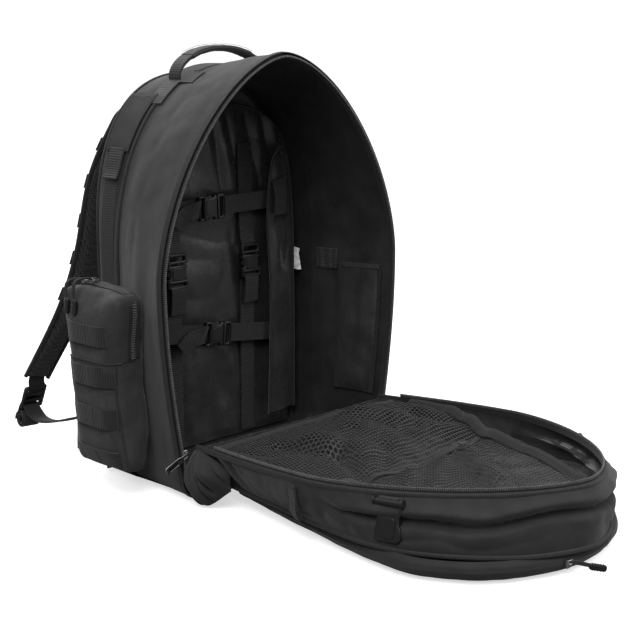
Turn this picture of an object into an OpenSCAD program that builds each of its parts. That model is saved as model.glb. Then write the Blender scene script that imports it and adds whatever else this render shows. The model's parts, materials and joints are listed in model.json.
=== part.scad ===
// Trauma backpack, unzipped: the front half lies open on the floor like a tray.
// Origin on the floor under the middle of the body. +Z up, -Y front, +X wearer's left. Millimetres.

/* [Body] */
// Height of the open front rim
rim_h = 516; // [490:2:540]
// Half width of the open front rim at the floor
rim_foot_w = 168; // [160:1:175]
// Half width of the open front rim at its widest, where the side walls splay out
rim_w = 200; // [190:1:208]
// Height at which the front rim is widest
rim_widest_z = 260; // [240:5:280]
// Height of the harness side
rear_h = 495; // [480:1:505]
// Half width of the harness side
rear_w = 158; // [150:1:160]
// Depth of the body from rim to harness side
body_depth = 172; // [160:1:180]
// Distance of the gusset seam in front of the harness side
seam_depth = 54; // [45:1:60]
// Thickness of the laminated fabric walls
wall_t = 4; // [3:0.5:5]

/* [Lid] */
// Length of the lid from its hinge edge to its tip
lid_len = 440; // [420:1:450]
// Half width of the lid rim at the hinge edge
lid_foot_w = 160; // [150:1:162]
// Half width of the lid rim at its widest
lid_w = 180; // [170:1:184]
// Rise of the open lid rim towards its tip, in degrees
lid_tilt = 2.3; // [1:0.1:3]
// Height of the lid rim at the hinge edge
lid_rim_z = 68; // [64:1:74]
// Height of the seam between the lid wall and its outer pocket
lid_seam_z = 26; // [20:1:30]

/* [Pouches] */
// Height of the pouch top above the floor
pouch_top_z = 252; // [245:1:260]
// Height of the pouch bottom above the floor
pouch_foot_z = 38; // [34:1:44]
// Distance of the pouch outer face from the middle plane, at the top
pouch_out_x = 229; // [224:1:234]
// Height of the seam where the pouch flap folds down
pouch_seam_z = 168; // [164:1:176]

/* [Webbing] */
// Width of the standard load-bearing webbing
web_w = 25; // [20:1:28]
// Thickness of webbing
web_t = 2; // [1.5:0.5:2.5]
// Distance between one row of outside webbing and the next
web_pitch = 51; // [48:1:52]

/* [Handle and harness] */
// Half span of the haul handle
handle_span = 74; // [66:1:78]
// Height of the top of the haul handle
handle_top_z = 532; // [528:1:540]
// Width of a padded shoulder strap
strap_w = 64; // [54:1:70]
// Thickness of a padded shoulder strap
strap_t = 13; // [10:1:16]

/* [Hidden] */

$fn = 48;
black = "#26282a";
black_shade = "#1b1c1e";
black_mesh = "#303234";
plastic = "#141516";
clip_grey = "#c9cbcc";
metal = "#b9bcbf";

front_y = -body_depth / 2;
rear_y = body_depth / 2;
seam_y = rear_y - seam_depth;
pocket_n = 1.95;      // roundness of the outer pocket's tip
pocket_zip_x = 46;    // the outer pocket's zip pull, left of the middle
pocket_zip_slope = 17; // slope of the pocket's edge there, in degrees
skin = 0.4;           // thickness of the slabs that a hull joins
gap = 2;              // clearance between neighbouring soft parts
fit_gap = 0.6;        // clearance of a part that lies on another
wall_swing = 10;      // how far a side wall swings inwards as the lid closes
wall_pivot = [rear_w + 5, 30, 0]; // upright line that a side wall swings about
wall_lo_z = 62;       // the side walls swing between these two heights
wall_hi_z = rim_widest_z + 2;
tape_d = 7;           // depth of the rim's zip tape
big = 900;

panel_y = rear_y - 24;      // front face of the inner panel
web_y = panel_y - gap;      // back of the vertical webbing inside
strap_y = web_y - web_t - 5; // back of the horizontal straps inside
web_x = [-62, 64];
socket_z = 240;
buckle_l = 30;
buckle_w = 32;
buckle_t = 9;
tongue_l = 18;
upper_z = [322, 327];       // height of the upper strap at its left and right ends
lower_z = [174, 142];
strap_half = 138;

lid_y = front_y - 9;        // hinge edge of the open lid
pull_y = front_y - 4.1;
handle_foot_z = 488;        // height of the handle's feet
handle_flop = 46;           // how far the handle flops to either side
buckle_y = strap_y - buckle_t / 2; // middle of the buckles inside, in front of their straps

// ---- outlines ---------------------------------------------------------------------------------

// Half width of an arch below its widest height.
function arch_side(foot, wide, z, wide_z) = foot + (wide - foot) * sin(90 * z / wide_z);

// Points of a pointed arch: sides from the floor, then a superellipse to the top.
function arch(foot, wide, wide_z, h, n, lift = 0, half = 14) =
    let (
        side = [for (i = [0 : 4]) let (z = lift + (wide_z - lift) * i / 5)
            [arch_side(foot, wide, z, wide_z), z]],
        top = [for (i = [0 : half]) let (a = 90 * i / half)
            [wide * pow(cos(a), 2 / n), wide_z + (h - wide_z) * pow(sin(a), 2 / n)]],
        right = concat(side, top)
    )
    concat(right, [for (i = [len(right) - 2 : -1 : 0]) [-right[i][0], right[i][1]]]);

function rim_arch(inset) =
    arch(rim_foot_w - inset, rim_w - inset, rim_widest_z, rim_h - inset, 1.72, max(0, inset));
function seam_arch(inset) =
    arch(rear_w + 3 - inset, rear_w + 8 - inset, 272, (rim_h + 2 * rear_h) / 3 - inset, 2.1, max(0, inset));
function rear_arch(inset) =
    arch(rear_w - inset, rear_w - inset, 280, rear_h - inset, 2.6, max(0, inset));
function lid_arch(inset) = arch(lid_foot_w - inset, lid_w - inset, 200, lid_len - inset, 1.66, max(0, inset));
function lid_seam_arch(inset) =
    arch(132 - inset, 160 - inset, 260, lid_len + 8 - inset, 1.8, max(0, inset));
function lid_pocket_arch(inset) =
    arch(105 - inset, 150 - inset, 280, lid_len + 7 - inset, pocket_n, 40 + inset);

// ---- building blocks --------------------------------------------------------------------------

// An upright plate with the outline pts, from y to y + t.
module upright(pts, y, t) {
    translate([0, y + t, 0]) rotate([90, 0, 0]) linear_extrude(t) polygon(pts);
}

// A box given by its lowest and highest corners.
module box(lo, hi) {
    translate(lo) cube(hi - lo);
}

// Both sides of the pack from one shape.
module both_sides() {
    children();
    mirror([1, 0, 0]) children();
}

// Solid filling the front section, between the rim and the gusset seam.
module front_fill(inset) {
    hull() {
        upright(rim_arch(inset), front_y + 5, skin);
        upright(seam_arch(inset), seam_y - skin, skin);
    }
}

// Fabric shell of the front section, open at both ends.
module front_skin(outer = 0, t = wall_t) {
    difference() {
        front_fill(outer);
        translate([0, -skin, 0]) front_fill(outer + t);
        box([-big, front_y, -1], [big, front_y + 5 + skin / 2, big]);
        box([-big, seam_y - skin * 2, -1], [big, rear_y, big]);
    }
}

// Solid filling the rear section, between the gusset seam and the harness side.
module rear_fill(inset) {
    hull() {
        upright(seam_arch(inset), seam_y + gap, skin);
        upright(rear_arch(inset), rear_y - 5 - skin, skin);
    }
}

// Ring along the front rim that holds the zip.
module rim_ring() {
    difference() {
        upright(rim_arch(0), front_y - 2, tape_d - 1);
        upright(rim_arch(wall_t), front_y - 3, tape_d + 1);
    }
}

// Places lid geometry: its points run along -Y from the hinge edge, on the tilted rim plane.
module on_lid() {
    translate([0, lid_y, lid_rim_z]) rotate([-lid_tilt, 0, 0]) children();
}

// A plate with a lid outline, lying on the rim plane, from height z to z + t.
module lid_plate(pts, z, t) {
    translate([0, 0, z]) linear_extrude(t) mirror([0, 1]) polygon(pts);
}

// Lid body between its rim and the seam to the outer pocket.
module lid_fill(inset) {
    hull() {
        on_lid() lid_plate(lid_arch(inset), -skin, skin);
        translate([0, lid_y, 0]) lid_plate(lid_seam_arch(inset), lid_seam_z + inset, skin);
    }
}

// A flat band from point a to point b, w wide along X.
module band(a, b, w, t) {
    hull() {
        translate(a) cube([w, t, t], center = true);
        translate(b) cube([w, t, t], center = true);
    }
}

// Socket half of a side-release buckle: a hollow shell open at the tongue's end (+Z), web at -Z.
module socket(l, w, t) {
    difference() {
        cube([w, t, l], center = true);
        translate([0, 0, l / 2 - tongue_l / 2]) cube([w - 6, t - 4, tongue_l + 1], center = true);
        translate([0, 0, -l / 2 + 3.5]) cube([w - 8, t + 2, 3], center = true);
    }
}

// Tongue half of a side-release buckle: two prongs going down into the socket and a slotted bar.
module tongue(l, w, t) {
    difference() {
        translate([0, 0, 7]) cube([w, t, 13], center = true);
        translate([0, 0, 8]) cube([w - 8, t + 2, 4], center = true);
    }
    for (side = [-1, 1])
        translate([side * (w / 2 - 7), 0, -l / 2 + 1]) cube([4, t - 5, l - 1], center = true);
}

// ---- body -------------------------------------------------------------------------------------

module back_panel() {
    color(black) upright(rear_arch(0), rear_y - 4, 4);
}

module back_padding() {
    color(black_mesh) {
        both_sides() upright([for (p = arch(48, 48, 330, 400, 2.6, 190)) p + [66, 0]], rear_y + 1, 11);
        upright(arch(118, 118, 120, 165, 2.6, 40), rear_y + 1, 11);
    }
}

module frame_sheet() {
    color(plastic) upright(rear_arch(12), rear_y - 9, 2);
}

module rear_shell() {
    color(black) difference() {
        rear_fill(0);
        rear_fill(wall_t);
        translate([0, 0, wall_t]) upright(rear_arch(wall_t + 1), rear_y - 12, 20);
        translate([0, 0, wall_t]) upright(seam_arch(wall_t + 1), seam_y - 8, 12);
    }
}

module front_gusset() {
    color(black) intersection() {
        front_skin();
        box([-big, -big, wall_hi_z + gap], [big, big, big]);
    }
}

module bottom_panel() {
    color(black) {
        intersection() {
            front_skin();
            box([-big, -big, 0], [big, big, wall_lo_z - gap]);
        }
        box([-rim_foot_w + 6, front_y + 1, wall_t], [rim_foot_w - 6, front_y + 5 + skin, 46]);
        box([-rim_foot_w + 6, front_y + 1, 0], [rim_foot_w - 6, front_y + 7, wall_t]);
    }
}

module inner_panel() {
    color(black_shade) upright(arch(147, 147, 330, 455, 2.8, 8), panel_y, 8);
}

module wing_pocket() {
    color(black_shade) upright(
        [[86, 30], [138, 30], [138, 330], [118, 392], [96, 380], [92, 200]], strap_y - 16, 6);
}

module inner_vertical_webs() {
    color(black) for (x = web_x)
        box([x - web_w / 2, web_y - web_t, 14], [x + web_w / 2, web_y, 400]);
}

// Flat strap across the inside, broken by its buckle between x0 and x1.
module cross_strap(z, x0, x1) {
    slope = atan((z[1] - z[0]) / (2 * strap_half));
    translate([0, 0, (z[0] + z[1]) / 2]) rotate([0, -slope, 0]) {
        box([-strap_half, strap_y - web_t, -web_w / 2], [x0, strap_y, web_w / 2]);
        box([x1, strap_y - web_t, -web_w / 2], [strap_half, strap_y, web_w / 2]);
    }
}

module inner_strap_upper() {
    color(black) cross_strap(upper_z, -30, 28);
}

module inner_strap_lower() {
    color(black) cross_strap(lower_z, -24, 34);
}

// Places a side-release buckle on a cross strap, with its socket to the left.
module on_strap(z, x) {
    slope = atan((z[1] - z[0]) / (2 * strap_half));
    translate([0, buckle_y - web_t - 0.5, (z[0] + z[1]) / 2])
        rotate([0, -slope, 0]) translate([x, 0, 0]) rotate([0, 90, 0]) children();
}

// Places a side-release buckle on a vertical web, with its socket below.
module on_web(x) {
    translate([x, buckle_y + web_t + 1.5, socket_z]) children();
}

module buckle_sockets() {
    color(plastic) {
        on_strap(upper_z, -14) socket(buckle_l, buckle_w, buckle_t);
        on_strap(lower_z, -8) socket(buckle_l, buckle_w, buckle_t);
        for (x = web_x) on_web(x) socket(buckle_l, buckle_w, buckle_t);
    }
}

module upper_tongue() {
    color(plastic) on_strap(upper_z, 2) tongue(tongue_l, buckle_w, buckle_t);
}

module lower_tongue() {
    color(plastic) on_strap(lower_z, 8) tongue(tongue_l, buckle_w, buckle_t);
}

module web_tongue(x) {
    color(plastic) on_web(x) translate([0, 0, 16]) tongue(tongue_l, buckle_w, buckle_t);
}

module left_web_tongue() {
    web_tongue(web_x[0]);
}

module right_web_tongue() {
    web_tongue(web_x[1]);
}

module care_label() {
    color("white") box([140.5, strap_y - 14, 226], [142, strap_y + 8, 257]);
}

module top_patches() {
    color(black) both_sides() intersection() {
        difference() {
            rear_fill(-2.4);
            rear_fill(-0.4);
        }
        box([70, seam_y + 6, 408], [160, rear_y - 8, 470]);
    }
}

module arch_zip_tape() {
    color(plastic) intersection() {
        rim_ring();
        box([-big, -big, wall_hi_z + gap], [big, big, big]);
    }
}

module side_webs() {
    color(black) both_sides() intersection() {
        difference() {
            rear_fill(-2.2);
            rear_fill(-0.4);
        }
        box([100, seam_y + 12, 20], [200, seam_y + 12 + web_w, 400]);
    }
}

module lower_webs() {
    color(black) both_sides() {
        band([146, rear_y + 3, 74], [145, rear_y + 66, 56], web_w, web_t);
        band([145, rear_y + 66, 56], [142, rear_y + 134, 38], web_w, web_t);
    }
}

// ---- side walls and their pouches ---------------------------------------------------------------

// One side wall, on the +X side, clear of the parts above, below and behind it.
module side_wall() {
    color(black) intersection() {
        front_skin();
        box([0, front_y + 6, wall_lo_z], [big, seam_y - 4, wall_hi_z]);
    }
}

module side_zip_tape() {
    color(plastic) intersection() {
        rim_ring();
        box([0, -big, wall_lo_z], [big, big, wall_hi_z]);
    }
}

// Corners of the pouch at height z, counter-clockwise, on the +X side.
function pouch_corners(z) =
    let (
        s = (z - pouch_foot_z) / (pouch_top_z - pouch_foot_z),
        out_x = pouch_out_x - 29 * (1 - s),
        front = -42 - 8 * s,
        rear = 55 + 6 * s,
        wall_front = 177 + 14 * s,
        wall_rear = 164 + 5 * s
    )
    [[wall_front, front], [out_x - 10, front], [out_x, front + 10], [out_x, rear - 14],
     [out_x - 14, rear], [wall_rear, rear]];

module pouch_fill(lo, hi) {
    hull() {
        translate([0, 0, lo]) linear_extrude(skin) polygon(pouch_corners(lo));
        translate([0, 0, hi - skin]) linear_extrude(skin) polygon(pouch_corners(hi));
    }
}

// Space taken from the pouch by its folding flap: the upper part of the outer face.
module flap_space(clear) {
    hull() {
        for (z = [pouch_seam_z, pouch_top_z + 10])
            translate([0, 0, z]) linear_extrude(skin) polygon(
                let (p = pouch_corners(min(z, pouch_top_z)))
                [[p[2][0] - 13 - clear, -80], [p[2][0] + 20, -80], [p[2][0] + 20, 90], [p[2][0] - 13 - clear, 90]]);
    }
}

// Space swept by the fixed bottom panel as a side wall, with its pouch, swings inwards.
module wall_sweep() {
    intersection() {
        translate(wall_pivot) rotate([0, 0, wall_swing]) translate(-wall_pivot) front_fill(-fit_gap);
        box([0, -big, -1], [big, big, wall_lo_z]);
    }
}

module pouch() {
    color(black) difference() {
        pouch_fill(pouch_foot_z, pouch_top_z);
        flap_space(1.5);
        front_fill(-fit_gap);
        wall_sweep();
    }
}

module pouch_flap() {
    color(black) intersection() {
        pouch_fill(pouch_seam_z + 2, pouch_top_z);
        flap_space(0);
    }
}

// The rows of webbing below the flap.
module pouch_webbing() {
    color(black) for (row = [0 : 2]) {
        z = pouch_foot_z + 1 + row * (web_pitch - 1);
        p = pouch_corners(z);
        q = pouch_corners(z + web_w);
        hull() {
            box([p[2][0] + 0.6, -34, z], [p[2][0] + 0.6 + web_t, 42, z + skin]);
            box([q[2][0] + 0.6, -34, z + web_w - skin], [q[2][0] + 0.6 + web_t, 42, z + web_w]);
        }
    }
}

// A zip slider on top of the pouch at y, with its cord and grip lying outwards over the flap.
module pouch_slider(y) {
    color(metal) translate([pouch_out_x - 20, y, pouch_top_z + 1]) {
        box([-6, -4, 0], [4, 4, 4.5]);
        box([4, -1, 1.5], [16, 1, 3.5]);
        box([16, -3, 0.8], [34, 3, 4]);
    }
}

module wall_pocket() {
    color(black_shade) intersection() {
        front_skin(wall_t + 1.5, 7);
        box([0, front_y + 16, wall_lo_z + 2], [big, -10, 238]);
    }
}

module loop_patch() {
    color(black_mesh) intersection() {
        front_skin(wall_t + 1.5, 2);
        box([0, -7, 228], [big, seam_y - 8, 257]);
    }
}

module left_wall() {
    mirror([1, 0, 0]) side_wall();
}

module right_wall() {
    side_wall();
}

module left_zip_tape() {
    mirror([1, 0, 0]) side_zip_tape();
}

module right_zip_tape() {
    side_zip_tape();
}

module left_pouch() {
    mirror([1, 0, 0]) pouch();
}

module right_pouch() {
    pouch();
}

module left_pouch_webbing() {
    mirror([1, 0, 0]) pouch_webbing();
}

module right_pouch_webbing() {
    pouch_webbing();
}

module left_pouch_flap() {
    mirror([1, 0, 0]) pouch_flap();
}

module right_pouch_flap() {
    pouch_flap();
}

module left_pouch_slider_front() {
    mirror([1, 0, 0]) pouch_slider(24);
}

module left_pouch_slider_rear() {
    mirror([1, 0, 0]) pouch_slider(40);
}

module right_pouch_slider_front() {
    pouch_slider(24);
}

module right_pouch_slider_rear() {
    pouch_slider(40);
}

// ---- lid ----------------------------------------------------------------------------------------

module lid_shell() {
    color(black) difference() {
        lid_fill(0);
        hull() {
            on_lid() lid_plate(lid_arch(wall_t), 0, 4);
            translate([0, lid_y, 0]) lid_plate(lid_seam_arch(wall_t), lid_seam_z + wall_t, skin);
        }
    }
}

module lid_liner() {
    color(black_shade) translate([0, lid_y, 0])
        lid_plate(lid_seam_arch(24), lid_seam_z + wall_t + 1, 2);
}

// Part of a plate on the lid between two distances from the hinge edge.
module lid_section(inset, z, t, from, to) {
    on_lid() intersection() {
        lid_plate(lid_arch(inset), z, t);
        box([-big, -to, z - 1], [big, -from, z + t + 1]);
    }
}

module lid_mesh_main() {
    color(black_mesh) lid_section(wall_t + 8, -9, 8, 26, 300);
}

module lid_mesh_tip() {
    color(black_mesh) lid_section(wall_t + 5, -10, 7, 304, 425);
}

module lid_zip_tape() {
    color(plastic) on_lid() difference() {
        lid_plate(lid_arch(0), 0.5, 1.5);
        translate([0, 0, -1]) lid_plate(lid_arch(wall_t), 0, 8);
        box([-big, -36, -1], [big, 20, 6]);
    }
}

module lid_pocket() {
    color(black) translate([0, lid_y, 0]) hull() {
        lid_plate(lid_pocket_arch(6), web_t + 0.2, 1);
        lid_plate(lid_pocket_arch(0), lid_seam_z - 3, 1);
    }
}

// Side-release buckle sockets on the lid's sides, for its compression straps.
module lid_buckles() {
    color(plastic) both_sides() difference() {
        translate([154, lid_y - 302, 47]) rotate([0, 0, 12]) difference() {
            box([0, -16, -20], [9, 16, 20]);
            box([2, -12, -21], [7, 12, 2]);
            box([-1, -10, 10], [10, 10, 14]);
        }
        lid_fill(-fit_gap);
    }
}

module lid_keeper_tabs() {
    color(black) both_sides() translate([162, lid_y - 185, 36])
        rotate([0, 26, 0]) box([0.8, -10, -16], [3.8, 10, 16]);
}

// Rows of webbing across the outer pocket, which rest on the floor.
module lid_webbing() {
    color(black) for (row = [0 : 3])
        translate([0, lid_y - 150 - row * web_pitch, 0])
            box([-104, -web_w / 2, 0], [104, web_w / 2, web_t]);
}

// Distance of the outer pocket's edge from the hinge edge, at x.
function pocket_edge(x) = 280 + (lid_len - 273) * pow(1 - pow(x / 150, pocket_n), 1 / pocket_n);

module lid_pocket_slider() {
    color(metal) translate([-pocket_zip_x, lid_y - pocket_edge(pocket_zip_x) - 1.5, 15])
        rotate([0, 0, -pocket_zip_slope]) box([-5, -6, -4], [5, 0, 4]);
}

module lid_pocket_pull() {
    color(metal) translate([-pocket_zip_x, lid_y - pocket_edge(pocket_zip_x) - 10, 15]) rotate([0, 0, -50]) {
        box([0, -1, -1.5], [14, 1, 1.5]);
        box([14, -1.5, -4], [34, 1.5, 4]);
    }
}

// ---- main zip sliders -----------------------------------------------------------------------------

module main_slider() {
    color(metal) box([165.5, front_y - 2.5, 54], [172.5, front_y + 5, 66]);
}

module main_pull() {
    color(metal) translate([170, pull_y, 60]) rotate([0, 24, 0]) difference() {
        box([0, -1, -4.5], [34, 1, 4.5]);
        box([3, -3, -2.5], [12, 3, 2.5]);
    }
}

module left_main_slider() {
    mirror([1, 0, 0]) main_slider();
}

module right_main_slider() {
    main_slider();
}

module left_main_pull() {
    mirror([1, 0, 0]) main_pull();
}

module right_main_pull() {
    main_pull();
}

// ---- haul handle and shoulder straps ----------------------------------------------------------------

// Outline of the haul handle seen from the front.
function handle_line(inset) =
    [for (i = [0 : 16]) let (a = 180 * i / 16)
        [(handle_span - inset) * cos(a),
            handle_foot_z + (handle_top_z - handle_foot_z - inset) * pow(sin(a), 0.8)]];

// The feet of the handle are cut to a V, so that it can flop both ways.
module haul_handle() {
    foot = [0, seam_y + 2, handle_foot_z];
    color(black) difference() {
        upright(handle_line(0), seam_y + 2 - 13, 26);
        upright([for (p = handle_line(4)) p - [0, 0.5]], seam_y - 20, 44);
        translate(foot) rotate([-handle_flop, 0, 0]) box([-big, -60, -60], [big, 60, 0]);
        translate(foot) rotate([handle_flop, 0, 0]) box([-big, -60, -60], [big, 60, 0]);
    }
}

// Middle line of a shoulder strap on the +X side, from its anchor down to the ladder lock.
strap_path = [[88, rear_y + 16, 448], [90, rear_y + 62, 366], [95, rear_y + 97, 250], [110, rear_y + 123, 188],
              [141, rear_y + 174, 86]];

module strap_pad() {
    color(black) for (i = [0 : len(strap_path) - 2]) {
        w = strap_w - 5 * i;
        hull() {
            translate(strap_path[i]) cube([w, strap_t, 1], center = true);
            translate(strap_path[i + 1]) cube([w - 5, strap_t - (i == 3 ? 5 : 0), 1], center = true);
        }
    }
}

module ladder_lock() {
    color(plastic) translate(strap_path[4] + [0, 8, -26]) rotate([-28, 0, 0]) difference() {
        cube([34, 7, 36], center = true);
        for (z = [-9, 2]) translate([0, 0, z]) cube([26, 9, 4], center = true);
    }
}

module strap_clip() {
    color(clip_grey) translate([60, rear_y + 114, 254]) rotate([17, 0, 0]) cube([22, 8, 16], center = true);
}

module left_strap_pad() {
    mirror([1, 0, 0]) strap_pad();
}

module right_strap_pad() {
    strap_pad();
}

module left_ladder_lock() {
    mirror([1, 0, 0]) ladder_lock();
}

module right_ladder_lock() {
    ladder_lock();
}

module left_strap_clip() {
    mirror([1, 0, 0]) strap_clip();
}

module right_strap_clip() {
    strap_clip();
}

back_panel();
back_padding();
frame_sheet();
rear_shell();
front_gusset();
bottom_panel();
inner_panel();
wing_pocket();
inner_vertical_webs();
inner_strap_upper();
inner_strap_lower();
buckle_sockets();
care_label();
top_patches();
arch_zip_tape();
side_webs();
lower_webs();
left_wall();
left_zip_tape();
left_pouch();
left_pouch_webbing();
right_wall();
right_zip_tape();
right_pouch();
right_pouch_webbing();
wall_pocket();
loop_patch();
left_pouch_flap();
right_pouch_flap();
left_pouch_slider_front();
left_pouch_slider_rear();
right_pouch_slider_front();
right_pouch_slider_rear();
lid_shell();
lid_liner();
lid_mesh_main();
lid_mesh_tip();
lid_zip_tape();
lid_pocket();
lid_buckles();
lid_keeper_tabs();
lid_webbing();
lid_pocket_slider();
lid_pocket_pull();
left_main_slider();
right_main_slider();
left_main_pull();
right_main_pull();
haul_handle();
left_strap_pad();
right_strap_pad();
left_ladder_lock();
right_ladder_lock();
left_strap_clip();
right_strap_clip();
upper_tongue();
lower_tongue();
left_web_tongue();
right_web_tongue();
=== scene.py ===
"""Trauma backpack: its fabric, webbing, zips and hardware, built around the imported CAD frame.

Shapes are worked out in millimetres in the CAD frame and turned into metres when a mesh is made.
A shape function returns (points, faces, cloth), where cloth holds each point's place on its own
fabric in millimetres, which the materials use for weave and ribs.
"""

import itertools
import json
import math

import bpy
import numpy as np
from mathutils import Matrix, Vector
from mathutils.bvhtree import BVHTree


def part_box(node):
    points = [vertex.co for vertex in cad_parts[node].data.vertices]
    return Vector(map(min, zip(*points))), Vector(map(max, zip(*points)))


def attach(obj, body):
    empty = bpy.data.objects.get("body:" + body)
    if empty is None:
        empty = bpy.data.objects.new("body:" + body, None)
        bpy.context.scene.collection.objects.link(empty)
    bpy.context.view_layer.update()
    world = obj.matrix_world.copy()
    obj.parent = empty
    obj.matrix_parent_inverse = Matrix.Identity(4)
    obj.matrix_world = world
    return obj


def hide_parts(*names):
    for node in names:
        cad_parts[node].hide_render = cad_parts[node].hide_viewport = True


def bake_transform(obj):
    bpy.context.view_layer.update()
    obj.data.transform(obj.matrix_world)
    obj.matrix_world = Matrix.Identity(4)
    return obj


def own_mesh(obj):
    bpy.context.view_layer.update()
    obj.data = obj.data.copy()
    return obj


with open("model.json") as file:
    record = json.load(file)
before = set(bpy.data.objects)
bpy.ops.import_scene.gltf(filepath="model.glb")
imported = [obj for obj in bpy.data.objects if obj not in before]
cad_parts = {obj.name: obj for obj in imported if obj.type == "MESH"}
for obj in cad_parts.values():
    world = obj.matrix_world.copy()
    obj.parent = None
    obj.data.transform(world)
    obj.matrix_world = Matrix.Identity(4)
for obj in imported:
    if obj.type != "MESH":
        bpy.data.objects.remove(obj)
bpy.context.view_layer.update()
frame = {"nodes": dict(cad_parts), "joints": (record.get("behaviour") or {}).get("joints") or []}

MM = 0.001


# ---- places taken from the CAD model ---------------------------------------------------------


def box_mm(node):
    """Lowest and highest corner of a CAD node, in millimetres."""
    low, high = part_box(node)
    return np.array(low) / MM, np.array(high) / MM


def node_centre(node):
    low, high = box_mm(node)
    return (low + high) / 2


RIM_H = box_mm("arch_zip_tape")[1][2]
RIM_WIDE = box_mm("right_wall")[1][0]
RIM_FOOT = RIM_WIDE * 0.84
RIM_WIDE_Z = 260
RIM_Y = box_mm("arch_zip_tape")[1][1] + 1
SEAM_Y = box_mm("rear_shell")[0][1] - 2
REAR_Y = box_mm("back_panel")[1][1]
REAR_H = box_mm("back_panel")[1][2]
REAR_WIDE = box_mm("back_panel")[1][0]
SEAM_H = (RIM_H + 2 * REAR_H) / 3
LID_Y = box_mm("lid_shell")[1][1]
LID_WIDE = box_mm("lid_zip_tape")[1][0]
LID_LEN = 440
LID_RIM_Z = 68
LID_TILT = math.radians(2.3)
LID_SEAM_Z = 26
PANEL_Y = box_mm("inner_panel")[0][1]
JOINT = {j["name"]: j for j in frame["joints"]}


# ---- small maths -----------------------------------------------------------------------------


def ease(t):
    """Smooth step from 0 to 1."""
    t = np.clip(t, 0.0, 1.0)
    return t * t * (3 - 2 * t)


def bump(t, centre, width):
    """A smooth hump of height 1 at centre."""
    return np.exp(-(((t - centre) / width) ** 2))


def noise(points, size, seed=0):
    """Smooth value noise from -1 to 1 with features about size mm across."""
    q = np.asarray(points, float) / size + 500.0
    cell = np.floor(q).astype(np.int64)
    part = q - cell
    part = part * part * (3 - 2 * part)
    total = np.zeros(q.shape[:-1])
    for corner in itertools.product((0, 1), repeat=3):
        c = cell + np.array(corner)
        mixed = (c[..., 0] * 73856093) ^ (c[..., 1] * 19349663) ^ (c[...,
                                                                     2] * 83492791) ^ (seed * 2654435761)
        mixed = (mixed ^ (mixed >> 13)) * 1274126177
        value = ((mixed ^ (mixed >> 16)) & 0xFFFF) / 65535.0
        weight = np.prod(np.where(np.array(corner) == 1, part, 1 - part), axis=-1)
        total += weight * value
    return total * 2 - 1


def folds(points, size, seed=0):
    """Noise with sharp valleys, like creased cloth, from 0 in the crease to 1 between creases."""
    return np.abs(noise(points, size, seed))


def unit(v):
    v = np.asarray(v, float)
    return v / np.maximum(np.linalg.norm(v, axis=-1, keepdims=True), 1e-9)


def lengths(points):
    steps = np.linalg.norm(np.diff(points, axis=0), axis=1)
    return np.concatenate([[0.0], np.cumsum(steps)])


def resample(points, count):
    """The same line with count evenly spaced points."""
    points = np.asarray(points, float)
    along = lengths(points)
    at = np.linspace(0, along[-1], count)
    return np.stack([np.interp(at, along, points[:, k]) for k in range(points.shape[1])], axis=1)


def spaced(points, pitch):
    """The same line with points about pitch mm apart."""
    return resample(points, max(2, int(round(lengths(np.asarray(points, float))[-1] / pitch)) + 1))


def curve(points, count):
    """A smooth line through the points."""
    p = np.asarray(points, float)
    p = np.vstack([2 * p[0] - p[1], p, 2 * p[-1] - p[-2]])
    line = []
    for i in range(1, len(p) - 2):
        for t in np.linspace(0, 1, 16, endpoint=False):
            a = 2 * p[i]
            b = p[i + 1] - p[i - 1]
            c = 2 * p[i - 1] - 5 * p[i] + 4 * p[i + 1] - p[i + 2]
            d = -p[i - 1] + 3 * p[i] - 3 * p[i + 1] + p[i + 2]
            line.append((a + b * t + c * t * t + d * t**3) / 2)
    line.append(p[-2])
    return resample(line, count)


def tangents(path):
    return unit(np.gradient(path, axis=0))


def mirrored(part):
    """The same part on the other side of the pack."""
    points, faces, cloth = part
    flipped = points * np.array([-1, 1, 1])
    return flipped, [tuple(reversed(f)) for f in faces], cloth


# ---- shapes ----------------------------------------------------------------------------------


def grid_faces(rows, cols, start=0, loop=False):
    """Quads of a grid of points. With loop, the last column joins the first."""
    faces = []
    for i in range(rows - 1):
        for j in range(cols if loop else cols - 1):
            a = start + i * cols + j
            b = start + i * cols + (j + 1) % cols
            faces.append((a, b, b + cols, a + cols))
    return faces


def cloth_of(grid):
    """Distances along the rows and columns of a grid, in millimetres."""
    rows, cols = grid.shape[:2]
    down = np.concatenate([[0], np.cumsum(np.linalg.norm(np.diff(grid[:, cols // 2], axis=0), axis=1))])
    across = np.concatenate([[0], np.cumsum(np.linalg.norm(np.diff(grid[rows // 2], axis=0), axis=1))])
    cloth = np.zeros((rows, cols, 3))
    cloth[..., 0] = across[None, :]
    cloth[..., 1] = down[:, None]
    return cloth.reshape(-1, 3)


def normals(grid):
    return unit(np.cross(np.gradient(grid, axis=1), np.gradient(grid, axis=0)))


def sheet(grid, thick):
    """Fabric of a given thickness whose outer face is the grid, closed round its edges."""
    rows, cols = grid.shape[:2]
    inner = grid - normals(grid) * thick
    count = rows * cols
    top = grid_faces(rows, cols)
    faces = [tuple(reversed(f)) for f in top]
    faces += [tuple(v + count for v in f) for f in top]
    edge = [j for j in range(cols)]
    edge += [i * cols + cols - 1 for i in range(1, rows)]
    edge += [(rows - 1) * cols + j for j in range(cols - 2, -1, -1)]
    edge += [i * cols for i in range(rows - 2, 0, -1)]
    for a, b in zip(edge, edge[1:] + edge[:1]):
        faces.append((a, b, b + count, a + count))
    cloth = cloth_of(grid)
    return np.vstack([grid.reshape(-1, 3), inner.reshape(-1, 3)]), faces, np.vstack([cloth, cloth])


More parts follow.
